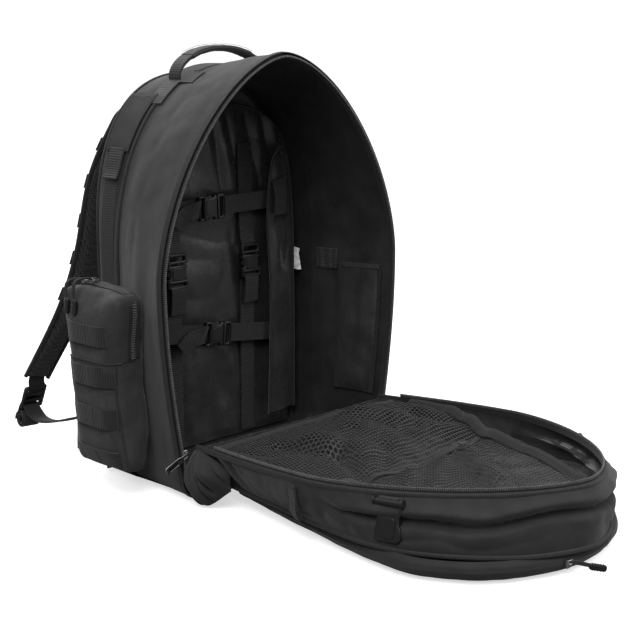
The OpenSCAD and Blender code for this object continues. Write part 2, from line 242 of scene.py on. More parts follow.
def sweep(path, side, section, closed=False):
    """A section, as (across, up) pairs, carried along a path. side points across the section."""
    path = np.asarray(path, float)
    count = len(path)
    along = tangents(path)
    across = np.broadcast_to(np.asarray(side, float), path.shape)
    across = unit(across - along * np.sum(across * along, axis=1, keepdims=True))
    up = np.cross(along, across)
    section = np.asarray(section, float)
    if section.ndim == 2:
        section = np.broadcast_to(section, (count,) + section.shape)
    size = section.shape[1]
    points = path[:, None] + across[:, None] * section[..., 0:1] + up[:, None] * section[..., 1:2]
    faces = grid_faces(count, size, loop=True)
    if not closed:
        faces.append(tuple(range(size - 1, -1, -1)))
        faces.append(tuple((count - 1) * size + j for j in range(size)))
    cloth = np.zeros((count, size, 3))
    cloth[..., 0] = section[..., 0]
    cloth[..., 1] = lengths(path)[:, None]
    return points.reshape(-1, 3), faces, cloth.reshape(-1, 3)


def flat_section(width, thick, crown=0.0):
    """Section of webbing or tape: flat, with rounded edges and an optional crown."""
    half = width / 2
    t = thick / 2
    return [(-half, 0), (-half + t * 0.6, -t), (-half / 2, -t), (0, -t), (half / 2, -t),
            (half - t * 0.6, -t),
            (half, 0), (half - t * 0.6, t), (half / 2, t + crown * 0.7), (0, t + crown),
            (-half / 2, t + crown * 0.7), (-half + t * 0.6, t)]


def matched(side, count):
    """A direction for each of count points, from one direction or a line of them."""
    side = np.asarray(side, float)
    return resample(side, count) if side.ndim == 2 else side


def webbing(path, side, width, thick=2.0, rib=0.22, pitch=3.0, step=0.75):
    """Woven strap with ribs across it."""
    path = spaced(path, step)
    base = np.array(flat_section(width, thick))
    along = lengths(path)
    swell = rib * np.abs(np.sin(math.pi * along / pitch))
    section = np.repeat(base[None], len(path), axis=0)
    section[..., 1] += np.sign(section[..., 1]) * swell[:, None]
    return sweep(path, matched(side, len(path)), section)


def tape(path, side, width, thick=1.0, crown=0.0, step=4.0):
    points = spaced(path, step)
    return sweep(points, matched(side, len(points)), flat_section(width, thick, crown))


def tube(path, radius, sides=8, step=4.0, side=(0.31, 0.52, 0.79)):
    ring = [(radius * math.cos(a), radius * math.sin(a)) for a in np.linspace(0, 2 * math.pi, sides,
                                                                              endpoint=False)]
    return sweep(spaced(path, step), side, ring)


def beads(centres, along, across, size, sides=6):
    """One small rounded bar at each centre: its length runs along, size = (length, width, height)."""
    centres = np.asarray(centres, float)
    along = unit(np.broadcast_to(along, centres.shape))
    across = np.broadcast_to(across, centres.shape)
    across = unit(across - along * np.sum(across * along, axis=1, keepdims=True))
    up = np.cross(along, across)
    rings = [(-0.5, 0.0), (-0.4, 0.8), (0.4, 0.8), (0.5, 0.0)]
    points = []
    for offset, share in rings:
        if share == 0:
            points.append((centres + along * offset * size[0])[:, None])
            continue
        for a in np.linspace(0, 2 * math.pi, sides, endpoint=False):
            shift = across * math.cos(a) * size[1] / 2 + up * math.sin(a) * size[2] / 2
            points.append((centres + along * offset * size[0] + shift * share * 1.25)[:, None])
    points = np.concatenate(points, axis=1)
    each = points.shape[1]
    pattern = []
    for j in range(sides):
        k = (j + 1) % sides
        pattern.append((0, 1 + k, 1 + j))
        pattern.append((1 + j, 1 + k, 1 + sides + k, 1 + sides + j))
        pattern.append((each - 1, 1 + sides + j, 1 + sides + k))
    faces = [tuple(v + i * each for v in f) for i in range(len(centres)) for f in pattern]
    points = points.reshape(-1, 3)
    return points, faces, points.copy()


def stitches(path, up, pitch=3.4, lift=0.25):
    """A row of thread stitches along a path, lying on the side that up points to."""
    path = spaced(path, pitch)
    up = np.broadcast_to(matched(up, len(path)), path.shape)
    middle = (path[:-1] + path[1:]) / 2 + unit(up[:-1]) * lift
    along = path[1:] - path[:-1]
    return beads(middle, along, np.cross(along, up[:-1]), (pitch * 0.78, 0.75, 0.6), sides=4)


def teeth(path, across, pitch=2.2, size=(5.0, 1.5, 2.0)):
    """Zip coil: one small bar for each tooth, lying across the path."""
    path = spaced(path, pitch)
    across = np.broadcast_to(np.asarray(across, float), path.shape)
    return beads(path, across, tangents(path), size)


def bartack(centre, across, up, length=22.0):
    """Dense zigzag stitching that holds webbing down."""
    across = unit(across)
    along = np.cross(across, unit(up))
    steps = np.linspace(-length / 2, length / 2, int(length / 1.1))
    centres = np.asarray(centre) + steps[:, None] * across
    return beads(centres, along, across, (3.2, 0.9, 0.9), sides=4)


def plate(outlines, thick, bevel, place):
    """A flat moulding from outlines, the first one outside and the others holes, set out by place."""
    data = bpy.data.curves.new("outline", "CURVE")
    data.dimensions = "2D"
    data.fill_mode = "BOTH"
    data.extrude = max(thick / 2 - bevel, 0.01)
    data.bevel_depth = bevel
    data.bevel_resolution = 2
    data.offset = -bevel
    for outline in outlines:
        spline = data.splines.new("POLY")
        spline.points.add(len(outline) - 1)
        for point, (x, y) in zip(spline.points, outline):
            point.co = (x, y, 0, 1)
        spline.use_cyclic_u = True
    holder = bpy.data.objects.new("outline", data)
    bpy.context.scene.collection.objects.link(holder)
    made = bpy.data.meshes.new_from_object(holder.evaluated_get(bpy.context.evaluated_depsgraph_get()))
    points = np.array([v.co for v in made.vertices], float).reshape(-1, 3)
    faces = [tuple(p.vertices) for p in made.polygons]
    bpy.data.objects.remove(holder)
    bpy.data.meshes.remove(made)
    placed = points @ np.asarray(place)[:3, :3].T + np.asarray(place)[:3, 3]
    return placed, faces, points


def placed(origin, x_axis, y_axis):
    """Matrix that sets a flat moulding out at origin, with its x and y along the two axes."""
    x = unit(x_axis)
    z = unit(np.cross(x, y_axis))
    y = np.cross(z, x)
    matrix = np.eye(4)
    matrix[:3, :3] = np.stack([x, y, z], axis=1)
    matrix[:3, 3] = origin
    return matrix


def rounded(x0, y0, x1, y1, radius, steps=5):
    """Rectangle with rounded corners, counter-clockwise."""
    points = []
    corners = [(x1 - radius, y0 + radius, -90), (x1 - radius, y1 - radius, 0),
               (x0 + radius, y1 - radius, 90), (x0 + radius, y0 + radius, 180)]
    for cx, cy, start in corners:
        for i in range(steps + 1):
            a = math.radians(start + 90 * i / steps)
            points.append((cx + radius * math.cos(a), cy + radius * math.sin(a)))
    return points


# ---- making pieces ---------------------------------------------------------------------------


def joined(parts):
    points, faces, cloth = [], [], []
    start = 0
    for p, f, c in parts:
        points.append(p)
        cloth.append(c)
        faces += [tuple(v + start for v in face) for face in f]
        start += len(p)
    return np.vstack(points), faces, np.vstack(cloth)


def mesh_object(name, part):
    points, faces, cloth = part
    mesh = bpy.data.meshes.new(name)
    mesh.from_pydata((np.asarray(points) * MM).tolist(), [], faces)
    mesh.polygons.foreach_set("use_smooth", [True] * len(mesh.polygons))
    place = mesh.attributes.new("cloth", "FLOAT_VECTOR", "POINT")
    place.data.foreach_set("vector", np.asarray(cloth, np.float32).ravel())
    mesh.update()
    obj = bpy.data.objects.new(name, mesh)
    bpy.context.scene.collection.objects.link(obj)
    return obj


def make(name, parts, look, body, hides=(), weight=None, crease=40):
    """Makes a piece that rides on a body; given two bodies, its place is baked into its mesh and the weight
    function is worked out for its points.
    """
    part = joined(parts)
    obj = mesh_object(name, part)
    obj.data.materials.append(look)
    obj.data.set_sharp_from_angle(angle=math.radians(crease))
    if isinstance(body, str):
        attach(obj, body)
    else:
        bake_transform(obj)
        share = np.asarray(weight(part[0]), np.float32)
    if hides:
        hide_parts(*hides)
    return obj


def wall_weight(points):
    """How far a point of the front section follows its side wall as the lid closes."""
    y, z = points[:, 1], points[:, 2]
    front = ease((34 - y) / 30)
    top = 1 - np.clip((z - 300) / (RIM_H - 300), 0, 1) ** 3
    foot = 1 - np.clip((110 - z) / 110, 0, 1) ** 2
    return front * top * foot


SIDES = (("left", -1), ("right", 1))


def on_walls(name, part, look, hides=None, crease=40):
    """One piece a side, made from the right-hand part, made with the root and that side's wall as its
    bodies and wall_weight as its weight.
    """
    for side, sign in SIDES:
        shape = part if sign > 0 else mirrored(part)
        hidden = tuple(h.format(side=side) for h in (hides or ()))
        make(f"{side}_{name}", [shape], look, ("root", f"{side}_side"), hidden, wall_weight, crease)


def on_sides(name, parts, look, body, hides=(), crease=40):
    """One piece a side, made from the right-hand parts. {side} in a name stands for left or right."""
    for side, sign in SIDES:
        shapes = parts if sign > 0 else [mirrored(part) for part in parts]
        hidden = tuple(h.format(side=side) for h in hides)
        make(name.format(side=side), shapes, look, body.format(side=side), hidden, crease=crease)


# ---- materials -------------------------------------------------------------------------------


class Look:
    """A node material, built up step by step."""

    def __init__(self, name, rough, metallic=0.0, sheen=0.0, specular=0.5):
        self.material = bpy.data.materials.new(name)
        self.material.use_nodes = True
        self.tree = self.material.node_tree
        self.surface = self.tree.nodes["Principled BSDF"]
        self.surface.inputs["Roughness"].default_value = rough
        self.surface.inputs["Metallic"].default_value = metallic
        self.surface.inputs["Sheen Weight"].default_value = sheen
        self.surface.inputs["Sheen Roughness"].default_value = 0.45
        self.surface.inputs["Specular IOR Level"].default_value = specular
        place = self.tree.nodes.new("ShaderNodeAttribute")
        place.attribute_name = "cloth"
        self.cloth = place.outputs["Vector"]
        texture = self.tree.nodes.new("ShaderNodeTexCoord")
        scale = self.tree.nodes.new("ShaderNodeVectorMath")
        scale.operation = "SCALE"
        scale.inputs["Scale"].default_value = 1 / MM
        self.tree.links.new(texture.outputs["Object"], scale.inputs[0])
        self.solid = scale.outputs["Vector"]
        self.height = None

    def link(self, a, b):
        self.tree.links.new(a, b)

    def math(self, operation, a, b):
        node = self.tree.nodes.new("ShaderNodeMath")
        node.operation = operation
        for slot, value in zip(node.inputs, (a, b)):
            if isinstance(value, (int, float)):
                slot.default_value = value
            else:
                self.link(value, slot)
        return node.outputs["Value"]

    def cloud(self, size, detail=3.0, source=None, stretch=(1, 1, 1)):
        """Noise with features about size mm across."""
        node = self.tree.nodes.new("ShaderNodeTexNoise")
        node.inputs["Scale"].default_value = 1 / size
        node.inputs["Detail"].default_value = detail
        mapping = self.tree.nodes.new("ShaderNodeMapping")
        mapping.inputs["Scale"].default_value = stretch
        self.link(source or self.solid, mapping.inputs["Vector"])
        self.link(mapping.outputs["Vector"], node.inputs["Vector"])
        return node.outputs["Fac"]

    def bands(self, pitch, axis, source=None):
        """Waves of a given pitch along the cloth's X or Y."""
        node = self.tree.nodes.new("ShaderNodeTexWave")
        node.wave_type = "BANDS"
        node.bands_direction = axis
        node.wave_profile = "SIN"
        node.inputs["Scale"].default_value = 2 * math.pi / (20 * pitch)
        node.inputs["Distortion"].default_value = 0.35
        node.inputs["Detail"].default_value = 1.0
        node.inputs["Detail Scale"].default_value = 2.0
        self.link(source or self.cloth, node.inputs["Vector"])
        return node.outputs["Fac"]

    def weave(self, pitch):
        return self.math("MULTIPLY", self.bands(pitch, "X"), self.bands(pitch, "Y"))

    def colour(self, dark, light, factor):
        """Colour that varies between two greys or colours with factor."""
        ramp = self.tree.nodes.new("ShaderNodeValToRGB")
        ramp.color_ramp.elements[0].color = (*dark, 1)
        ramp.color_ramp.elements[1].color = (*light, 1)
        ramp.color_ramp.elements[0].position = 0.3
        ramp.color_ramp.elements[1].position = 0.72
        self.link(factor, ramp.inputs["Fac"])
        self.link(ramp.outputs["Color"], self.surface.inputs["Base Color"])

    def roughness(self, low, high, factor):
        spread = self.tree.nodes.new("ShaderNodeMapRange")
        spread.inputs["To Min"].default_value = low
        spread.inputs["To Max"].default_value = high
        self.link(factor, spread.inputs["Value"])
        self.link(spread.outputs["Result"], self.surface.inputs["Roughness"])

    def raise_by(self, height, distance, strength=0.5):
        """Adds a bump of distance mm."""
        node = self.tree.nodes.new("ShaderNodeBump")
        node.inputs["Strength"].default_value = strength
        node.inputs["Distance"].default_value = distance * MM
        self.link(height, node.inputs["Height"])
        if self.height is not None:
            self.link(self.height, node.inputs["Normal"])
        self.height = node.outputs["Normal"]
        self.link(self.height, self.surface.inputs["Normal"])


def grey(level, warm=0.0):
    return (level * (1 + warm), level, level * (1 - warm))


def pack_cloth(name, level=0.021, pitch=1.1):
    """Coated pack cloth: matt, with a plain weave and slightly worn high spots."""
    look = Look(name, 0.72, sheen=0.22, specular=0.35)
    mottled = look.math("ADD", look.cloud(45, 4), look.math("MULTIPLY", look.cloud(2.2, 2), 0.35))
    look.colour(grey(level * 0.72), grey(level * 1.25), look.math("MULTIPLY", mottled, 0.74))
    look.roughness(0.6, 0.85, look.cloud(14))
    look.raise_by(look.cloud(26, 4), 2.2, 0.35)
    look.raise_by(look.weave(pitch), 0.25, 0.45)
    return look.material


def nylon(name, level=0.019, rough=0.34):
    """Smooth coated lining that catches the light along its creases."""
    look = Look(name, rough, sheen=0.08, specular=0.62)
    look.colour(grey(level * 0.7), grey(level * 1.35), look.cloud(30, 3))
    look.roughness(rough - 0.06, rough + 0.14, look.cloud(9))
    look.raise_by(look.cloud(24, 4, stretch=(1, 1, 0.3)), 1.8, 0.5)
    look.raise_by(look.cloud(7, 3, stretch=(1, 1, 0.5)), 0.5, 0.3)
    look.raise_by(look.weave(0.7), 0.1, 0.25)
    return look.material


def ribbed(name, level=0.013, pitch=3.0, rough=0.6):
    """Woven webbing: ribs across the strap, with painted shade in the grooves between them, and a fine
    twill along it.
    """
    look = Look(name, rough, sheen=0.2, specular=0.4)
    ribs = look.bands(pitch, "Y")
    # The colour follows the ribs: painted shade in the grooves, lighter on the rib tops.
    look.colour(grey(level * 0.55), grey(level * 1.35),
                look.math("ADD", look.math("MULTIPLY", ribs, 0.55),
                          look.math("MULTIPLY", look.cloud(7), 0.5)))
    look.roughness(rough - 0.1, rough + 0.15, look.cloud(10))
    look.raise_by(ribs, 0.45, 0.5)
    look.raise_by(look.bands(0.9, "X"), 0.15, 0.4)
    return look.material


def moulded(name, level, rough=0.35, warm=0.0):
    """Moulded plastic with a fine spark-eroded skin and scuffed edges."""
    look = Look(name, rough, specular=0.5)
    look.colour(grey(level * 0.85, warm), grey(level * 1.2, warm), look.cloud(11, 4))
    look.roughness(rough - 0.08, rough + 0.14, look.cloud(4, 4))
    look.raise_by(look.cloud(0.7, 2), 0.06, 0.4)
    return look.material


def plated(name, level=0.42, rough=0.3):
    """Plated zinc: satin, with tiny scratches and darker worn spots."""
    look = Look(name, rough, metallic=1.0)
    look.colour(grey(level * 0.6), grey(level * 1.2), look.cloud(3, 5))
    look.roughness(rough - 0.12, rough + 0.16, look.cloud(1.5, 5, stretch=(1, 6, 1)))
    look.raise_by(look.cloud(0.8, 3), 0.05, 0.4)
    return look.material


def plain_weave(name, level, pitch=0.8, rough=0.7, sheen=0.15):
    """Narrow tape, thread or net: a close weave."""
    look = Look(name, rough, sheen=sheen, specular=0.4)
    look.colour(grey(level * 0.7), grey(level * 1.3), look.cloud(5, 4))
    look.roughness(rough - 0.12, rough + 0.12, look.cloud(6))
    look.raise_by(look.weave(pitch), 0.2, 0.5)
    return look.material


def spacer_mesh(name, level=0.034):
    """Knitted spacer mesh over foam: a close grid of small round holes, with painted shade in the holes."""
    look = Look(name, 0.85, sheen=0.2, specular=0.25)
    cells = look.tree.nodes.new("ShaderNodeTexVoronoi")
    cells.inputs["Scale"].default_value = 1 / 3.2
    cells.inputs["Randomness"].default_value = 0.25
    look.link(look.solid, cells.inputs["Vector"])
    # Colour from the same cells as the bump: painted shade in the holes, lighter on the knit between them.
    look.colour(grey(level * 1.4), grey(level * 0.35),
                look.math("SUBTRACT", 1.0, cells.outputs["Distance"]))
    look.raise_by(cells.outputs["Distance"], 0.9, 0.6)
    look.raise_by(look.cloud(18, 3), 1.2, 0.3)
    return look.material


SHELL = pack_cloth("shell_cloth")
# A darker copy of the shell cloth for the hinge fold, the lid's foot wall and the floor: painted shade in
# these recesses.
SHELL_SHADED = pack_cloth("shell_cloth_painted_shade", level=0.012)
SHELL_POUCH = pack_cloth("pouch_cloth", level=0.027)
SHELL_LID = pack_cloth("lid_cloth", level=0.016)
LINER = nylon("lining_nylon")
GLOSS = nylon("panel_nylon", level=0.027, rough=0.25)
RIBBED = ribbed("webbing_ribbed")
BINDING = plain_weave("edge_binding", 0.015)
THREAD = plain_weave("sewing_thread", 0.035, rough=0.55)
ZIP_TAPE = plain_weave("zip_tape_weave", 0.012, pitch=0.6)
# The zip coil is black plastic; its mid-grey level is painted highlight standing in for the glints on the
# teeth.
ZIP_COIL = moulded("zip_coil", 0.11, rough=0.25)
NET = plain_weave("net_yarn", 0.038, pitch=0.5, rough=0.55)
FOAM = spacer_mesh("foam_cover")
ACETAL = moulded("buckle_acetal", 0.008)
CLIP = moulded("clip_plastic", 0.5, rough=0.4)
METAL = plated("pull_metal")
LABEL = plain_weave("label_weave", 0.75, pitch=0.5)
SHEET = moulded("frame_sheet_plastic", 0.1, rough=0.5)


# ---- outlines --------------------------------------------------------------------------------


def arch(foot, wide, wide_z, height, power, count, low=0.0):
    """Half arch, from its top at x = 0 down the +X side to height low, as (x, z)."""
    a = np.linspace(90, 0, 120) * math.pi / 180
    top_x = wide * np.cos(a) ** (2 / power)
    top_z = wide_z + (height - wide_z) * np.sin(a) ** (2 / power)
    z = np.linspace(wide_z, low, 60)[1:]
    side_x = foot + (wide - foot) * np.sin(math.pi / 2 * z / wide_z)
    line = np.stack([np.concatenate([top_x, side_x]), np.concatenate([top_z, z])], axis=1)
    return resample(line, count)


def ring(foot, wide, wide_z, height, power, inset=0.0, corner=26.0, floor=1.5, count=90, under=26):
    """Half loop of the pack's shell: over the top, down the side, round the foot, to the middle."""
    floor = floor + inset
    half = arch(foot - inset, wide - inset, wide_z, height - inset, power, count, low=floor + corner)
    foot_x = half[-1][0]
    turn = np.linspace(0, math.pi / 2, 8)[1:]
    corner_x = foot_x - corner + corner * np.cos(turn)
    corner_z = floor + corner - corner * np.sin(turn)
    flat_x = np.linspace(corner_x[-1], 0, under - 7 + 1)[1:]
    bottom = np.stack([np.concatenate([corner_x, flat_x]),
                       np.concatenate([corner_z, np.full(len(flat_x), floor)])], axis=1)
    return np.vstack([half, bottom])


def rim_ring(inset=0.0):
    return ring(RIM_FOOT, RIM_WIDE - 1, RIM_WIDE_Z, RIM_H + 3, 1.66, inset)


def seam_ring(inset=0.0):
    return ring(REAR_WIDE + 3, REAR_WIDE + 8, 272, SEAM_H, 2.1, inset)


def rear_ring(inset=0.0):
    return ring(REAR_WIDE, REAR_WIDE, 280, REAR_H, 2.6, inset)


def at_y(ring_points, y):
    """A ring stood up at y."""
    return np.stack([ring_points[:, 0], np.full(len(ring_points), float(y)), ring_points[:, 1]], axis=1)


def arch_half_width(z, foot, wide, wide_z, height, power):
    """Half width of an arch at height z."""
    low = foot + (wide - foot) * np.sin(math.pi / 2 * np.clip(z / wide_z, 0, 1))
    share = np.clip((z - wide_z) / (height - wide_z), 0, 1)
    return np.where(z < wide_z, low, wide * (1 - share**power) ** (1 / power))


# ---- body shell ------------------------------------------------------------------------------


def front_grid(inset, wave, y0, y1, rows=30):
    """Half of the front section between the rim and the gusset seam."""
    out = []
    rim, seam = rim_ring(inset), seam_ring(inset)
    for t in np.linspace(0, 1, rows):
        y = y0 + (y1 - y0) * t
        share = (y - RIM_Y) / (SEAM_Y - RIM_Y)
        out.append(at_y(rim * (1 - share) + seam * share, y))
    grid = np.array(out)
    sag = np.sin(math.pi * np.linspace(0, 1, rows))[:, None]
    ruffle = noise(grid * np.array([1, 1, 0.6]), 58,
                   3) * 2.2 + (folds(grid * [1, 1, 0.5], 26, 5) - 0.4) * 1.8
    above = ease((grid[..., 2] - 20) / 40) * ease(grid[..., 0] / 25 + 0.2)
    return grid + normals(grid) * ((2.0 * sag + ruffle * sag) * wave * above)[..., None]


def build_front():
    """Front section of the shell: outer cloth, lining, rim binding and zip."""
    outer = front_grid(0, 1.0, RIM_Y, SEAM_Y)
    on_walls("gusset_cloth", sheet(outer, 1.6), SHELL, ("{side}_wall", "front_gusset"))
    inner = front_grid(3.4, 0.8, RIM_Y + 1, SEAM_Y)
    on_walls("gusset_lining", sheet(inner, 0.8), LINER, None)
    rim = at_y(rim_ring(2.0), RIM_Y - 0.5)
    radial = np.stack([np.gradient(rim[:, 2]), np.zeros(len(rim)), -np.gradient(rim[:, 0])], axis=1)
    folded = [(-3.0, -5.0), (-3.4, 1.2), (-2.0, 2.6), (2.0, 2.6), (3.4, 1.2), (3.0, -5.0), (2.0, -5.4),
              (2.2, 0), (-2.2, 0), (-2.0, -5.4)]
    on_walls("rim_binding", sweep(resample(rim, 240), resample(-radial, 240), np.array(folded) * [1, -1]),
             BINDING, None)
    shape = np.arange(len(rim)) < 92
    edge = rim[shape]
    out = unit(np.stack([np.gradient(edge[:, 2]), np.zeros(len(edge)), -np.gradient(edge[:, 0])], axis=1))
    inside = edge + out * 2.2
    tape_path = inside + [0, -2.0, 0]
    on_walls("zip_tape_body", tape(tape_path, (0, 1, 0), 13, 0.8), ZIP_TAPE,
             ("{side}_zip_tape", "arch_zip_tape"))
    coil = inside + [0, -7.2, 0]
    on_walls("zip_coil_body", teeth(coil, (0, 1, 0), 2.2, (3.6, 1.5, 2.6)), ZIP_COIL, None)


def build_rear():
    """Rear section: outer cloth, lining, piping at both seams and stitching."""
    rows = []
    seam, rear = seam_ring(), rear_ring()
    for t in np.linspace(0, 1, 16):
        rows.append(at_y(seam * (1 - t) + rear * t, SEAM_Y + 2 + (REAR_Y - 7 - SEAM_Y - 2) * t))
    for k in range(1, 6):
        a = math.pi / 2 * k / 5
        rows.append(at_y(rear_ring(6 - 6 * math.cos(a)), REAR_Y - 7 + 6 * math.sin(a)))
    grid = np.array(rows)
    swell = np.sin(math.pi * np.clip(np.linspace(0, 1.3, len(rows)), 0, 1))[:, None]
    above = ease((grid[..., 2] - 20) / 40)
    grid = grid + normals(grid) * ((1.5 + noise(grid, 50, 9) * 1.4) * swell * above)[..., None]
    shell = sheet(grid, 1.6)
    make("rear_gusset_cloth", [shell, mirrored(shell)], SHELL, "root", ("rear_shell",))
    lining = sheet(np.array([at_y(seam_ring(3.4), SEAM_Y), at_y(rear_ring(3.4), REAR_Y - 9)]), 0.8)
    make("rear_gusset_lining", [lining, mirrored(lining)], LINER, "root")
    pipes, threads = [], []
    for path, radius in ((at_y(seam_ring(-1.2), SEAM_Y + 1), 2.3),
                         (at_y(rear_ring(1.0), REAR_Y - 1.5), 2.4)):
        path[:, 2] = np.maximum(path[:, 2], radius + 0.1)
        pipes.append(tube(path, radius))
    for offset in (-7.0, 8.5):
        base = seam_ring(-2.2)
        path = at_y(base, SEAM_Y + 1 + offset)
        path[:, 2] = np.maximum(path[:, 2], 0.8)
        away = np.stack([-np.gradient(path[:, 2]), np.zeros(len(path)), np.gradient(path[:, 0])], axis=1)
        threads.append(stitches(path, away))
    make("seam_piping", pipes + [mirrored(p) for p in pipes], BINDING, "root")
    return threads


def arch_panel(dims, z0, z1, y, inset=0.0, rows=60, cols=40, facing=-1, relief=None):
    """An upright arched panel as a grid, facing -Y or +Y."""
    z = z0 + (z1 - z0) * np.linspace(0, 1, rows) ** 0.9
    half = arch_half_width(z, *dims) - inset
    s = np.linspace(-1, 1, cols)
    x = np.maximum(half, 0.5)[:, None] * s[None, :]
    grid = np.stack([x, np.full_like(x, float(y)), np.repeat(z[:, None], cols, 1)], axis=2)
    if relief is not None:
        grid[..., 1] += relief(grid)
    return grid if facing < 0 else grid[:, ::-1]


def build_back_panel():
    dims = (REAR_WIDE, REAR_WIDE, 280, REAR_H, 2.6)
    relief = lambda g: noise(g, 60, 4) * 0.7
    grid = arch_panel(dims, 2, REAR_H - 1.5, REAR_Y - 0.6, inset=2, facing=1, relief=relief)
    make("back_panel_cloth", [sheet(grid, 2.4)], SHELL, "root", ("back_panel",))


def only_seen(tree, surface, output, glow, bounce):
    """Lifts a surface with a glow the camera sees, and dims the light it throws on other things."""
    path = tree.nodes.new("ShaderNodeLightPath")
    shine = tree.nodes.new("ShaderNodeEmission")
    shine.inputs["Strength"].default_value = glow
    both = tree.nodes.new("ShaderNodeAddShader")
    tree.links.new(surface, both.inputs[0])
    tree.links.new(shine.outputs["Emission"], both.inputs[1])
    dim = tree.nodes.new("ShaderNodeBsdfDiffuse")
    dim.inputs["Color"].default_value = (*grey(bounce), 1)
    chosen = tree.nodes.new("ShaderNodeMixShader")
    tree.links.new(path.outputs["Is Camera Ray"], chosen.inputs["Fac"])
    tree.links.new(dim.outputs["BSDF"], chosen.inputs[1])
    tree.links.new(both.outputs["Shader"], chosen.inputs[2])
    tree.links.new(chosen.outputs["Shader"], output.inputs["Surface"])


CAMERA_PLACE = (-1.14647, -1.26872, 0.53440)  # metres
CAMERA_ANGLES = (-45.17, 11.35, -0.39)  # azimuth, elevation and roll, in degrees
CAMERA_LENS = 78.43
FLOOR_GLOW = 0.62
FLOOR_BOUNCE = 0.2
SKY_LOW, SKY_HIGH, SKY_SEEN = 0.07, 1.0, 1.05


def build_stage():
    """Pale floor, soft light from above and the sides, and the camera."""
    floor = bpy.data.meshes.new("floor")
    floor.from_pydata([(-9, -9, 0), (9, -9, 0), (9, 9, 0), (-9, 9, 0)], [], [(0, 1, 2, 3)])
    ground = bpy.data.objects.new("floor", floor)
    bpy.context.scene.collection.objects.link(ground)
    look = Look("floor_paper", 0.9)
    look.colour(grey(0.86), grey(0.9), look.cloud(60))
    only_seen(look.tree, look.surface.outputs["BSDF"], look.tree.nodes["Material Output"], FLOOR_GLOW,
              FLOOR_BOUNCE)
    floor.materials.append(look.material)
    world = bpy.data.worlds.new("studio")
    bpy.context.scene.world = world
    world.use_nodes = True
    paper = world.node_tree.nodes["Background"]
    paper.inputs["Color"].default_value = (1.0, 1.0, 1.0, 1)
    nodes, join = world.node_tree.nodes, world.node_tree.links.new
    path = nodes.new("ShaderNodeLightPath")
    sky = nodes.new("ShaderNodeTexCoord")
    parts = nodes.new("ShaderNodeSeparateXYZ")
    join(sky.outputs["Generated"], parts.inputs["Vector"])
    overhead = nodes.new("ShaderNodeMapRange")
    overhead.inputs["To Min"].default_value = SKY_LOW
    overhead.inputs["To Max"].default_value = SKY_HIGH
    join(parts.outputs["Z"], overhead.inputs["Value"])
    seen = nodes.new("ShaderNodeMix")
    seen.inputs["B"].default_value = SKY_SEEN
    join(path.outputs["Is Camera Ray"], seen.inputs["Factor"])
    join(overhead.outputs["Result"], seen.inputs["A"])
    join(seen.outputs["Result"], paper.inputs["Strength"])
    lamps = (("key", (-1.6, -1.2, 2.0), 41, 1.4), ("fill", (1.5, -1.9, 1.3), 20, 1.6),
             ("back", (0.4, 2.0, 1.9), 26, 1.6))
    for name, place, power, size in lamps:
        data = bpy.data.lights.new(name, "AREA")
        data.energy = power
        data.size = size
        lamp = bpy.data.objects.new(name, data)
        lamp.location = place
        lamp.rotation_mode = "QUATERNION"
        lamp.rotation_quaternion = (Vector((0, -0.1, 0.25)) - Vector(place)).to_track_quat("-Z", "Y")
        bpy.context.scene.collection.objects.link(lamp)
    camera_data = bpy.data.cameras.new("camera")
    camera_data.sensor_width = 36
    camera_data.lens = CAMERA_LENS
    camera = bpy.data.objects.new("camera", camera_data)
    azimuth, elevation, roll = (math.radians(a) for a in CAMERA_ANGLES)
    turn = Matrix.Rotation(azimuth, 3, "Z") @ Matrix.Rotation(math.pi / 2 - elevation, 3,
                                                              "X") @ Matrix.Rotation(roll, 3, "Z")
    camera.matrix_world = Matrix.Translation(Vector(CAMERA_PLACE)) @ turn.to_4x4()
    bpy.context.scene.collection.objects.link(camera)
    bpy.context.scene.camera = camera
    bpy.context.scene.view_settings.view_transform = "Standard"


# ---- inside the body -------------------------------------------------------------------------

PANEL_DIMS = (147, 147, 330, 455, 2.8)
WEB_X = (-62, 64)
WEB_LINE_Y = PANEL_Y - 3
STRAP_LINE_Y = PANEL_Y - 10
STRAP_HALF = 138
UPPER = (322, 327, -14, 2, "upper_tongue")
LOWER = (174, 142, -8, 8, "lower_tongue")


def panel_relief(grid):
    """Satin creases of the inner panel, held down along its webs and straps."""
    x, z = grid[..., 0], grid[..., 2]
    upright = np.stack([x + z * 0.22, x * 0, z * 0.26], axis=-1)
    across = np.stack([x * 0.5 - z * 0.3, x * 0, z * 0.9 + x * 0.2], axis=-1)
    crease = folds(upright, 30, 2) * 9.0 + folds(across, 40, 7) * 3.4 + noise(grid, 70, 1) * 2.0
    held = 1 - 0.75 * bump(x, WEB_X[0], 20) - 0.75 * bump(x, WEB_X[1], 20)
    held *= 1 - 0.6 * bump(z, 325, 14) - 0.6 * bump(z, 158, 14)
    edge = ease((147 - np.abs(x)) / 24) * ease((455 - z) / 30) * ease((z - 8) / 16)
    return -np.clip(crease * held * edge, 0, 11.5) * 0.85


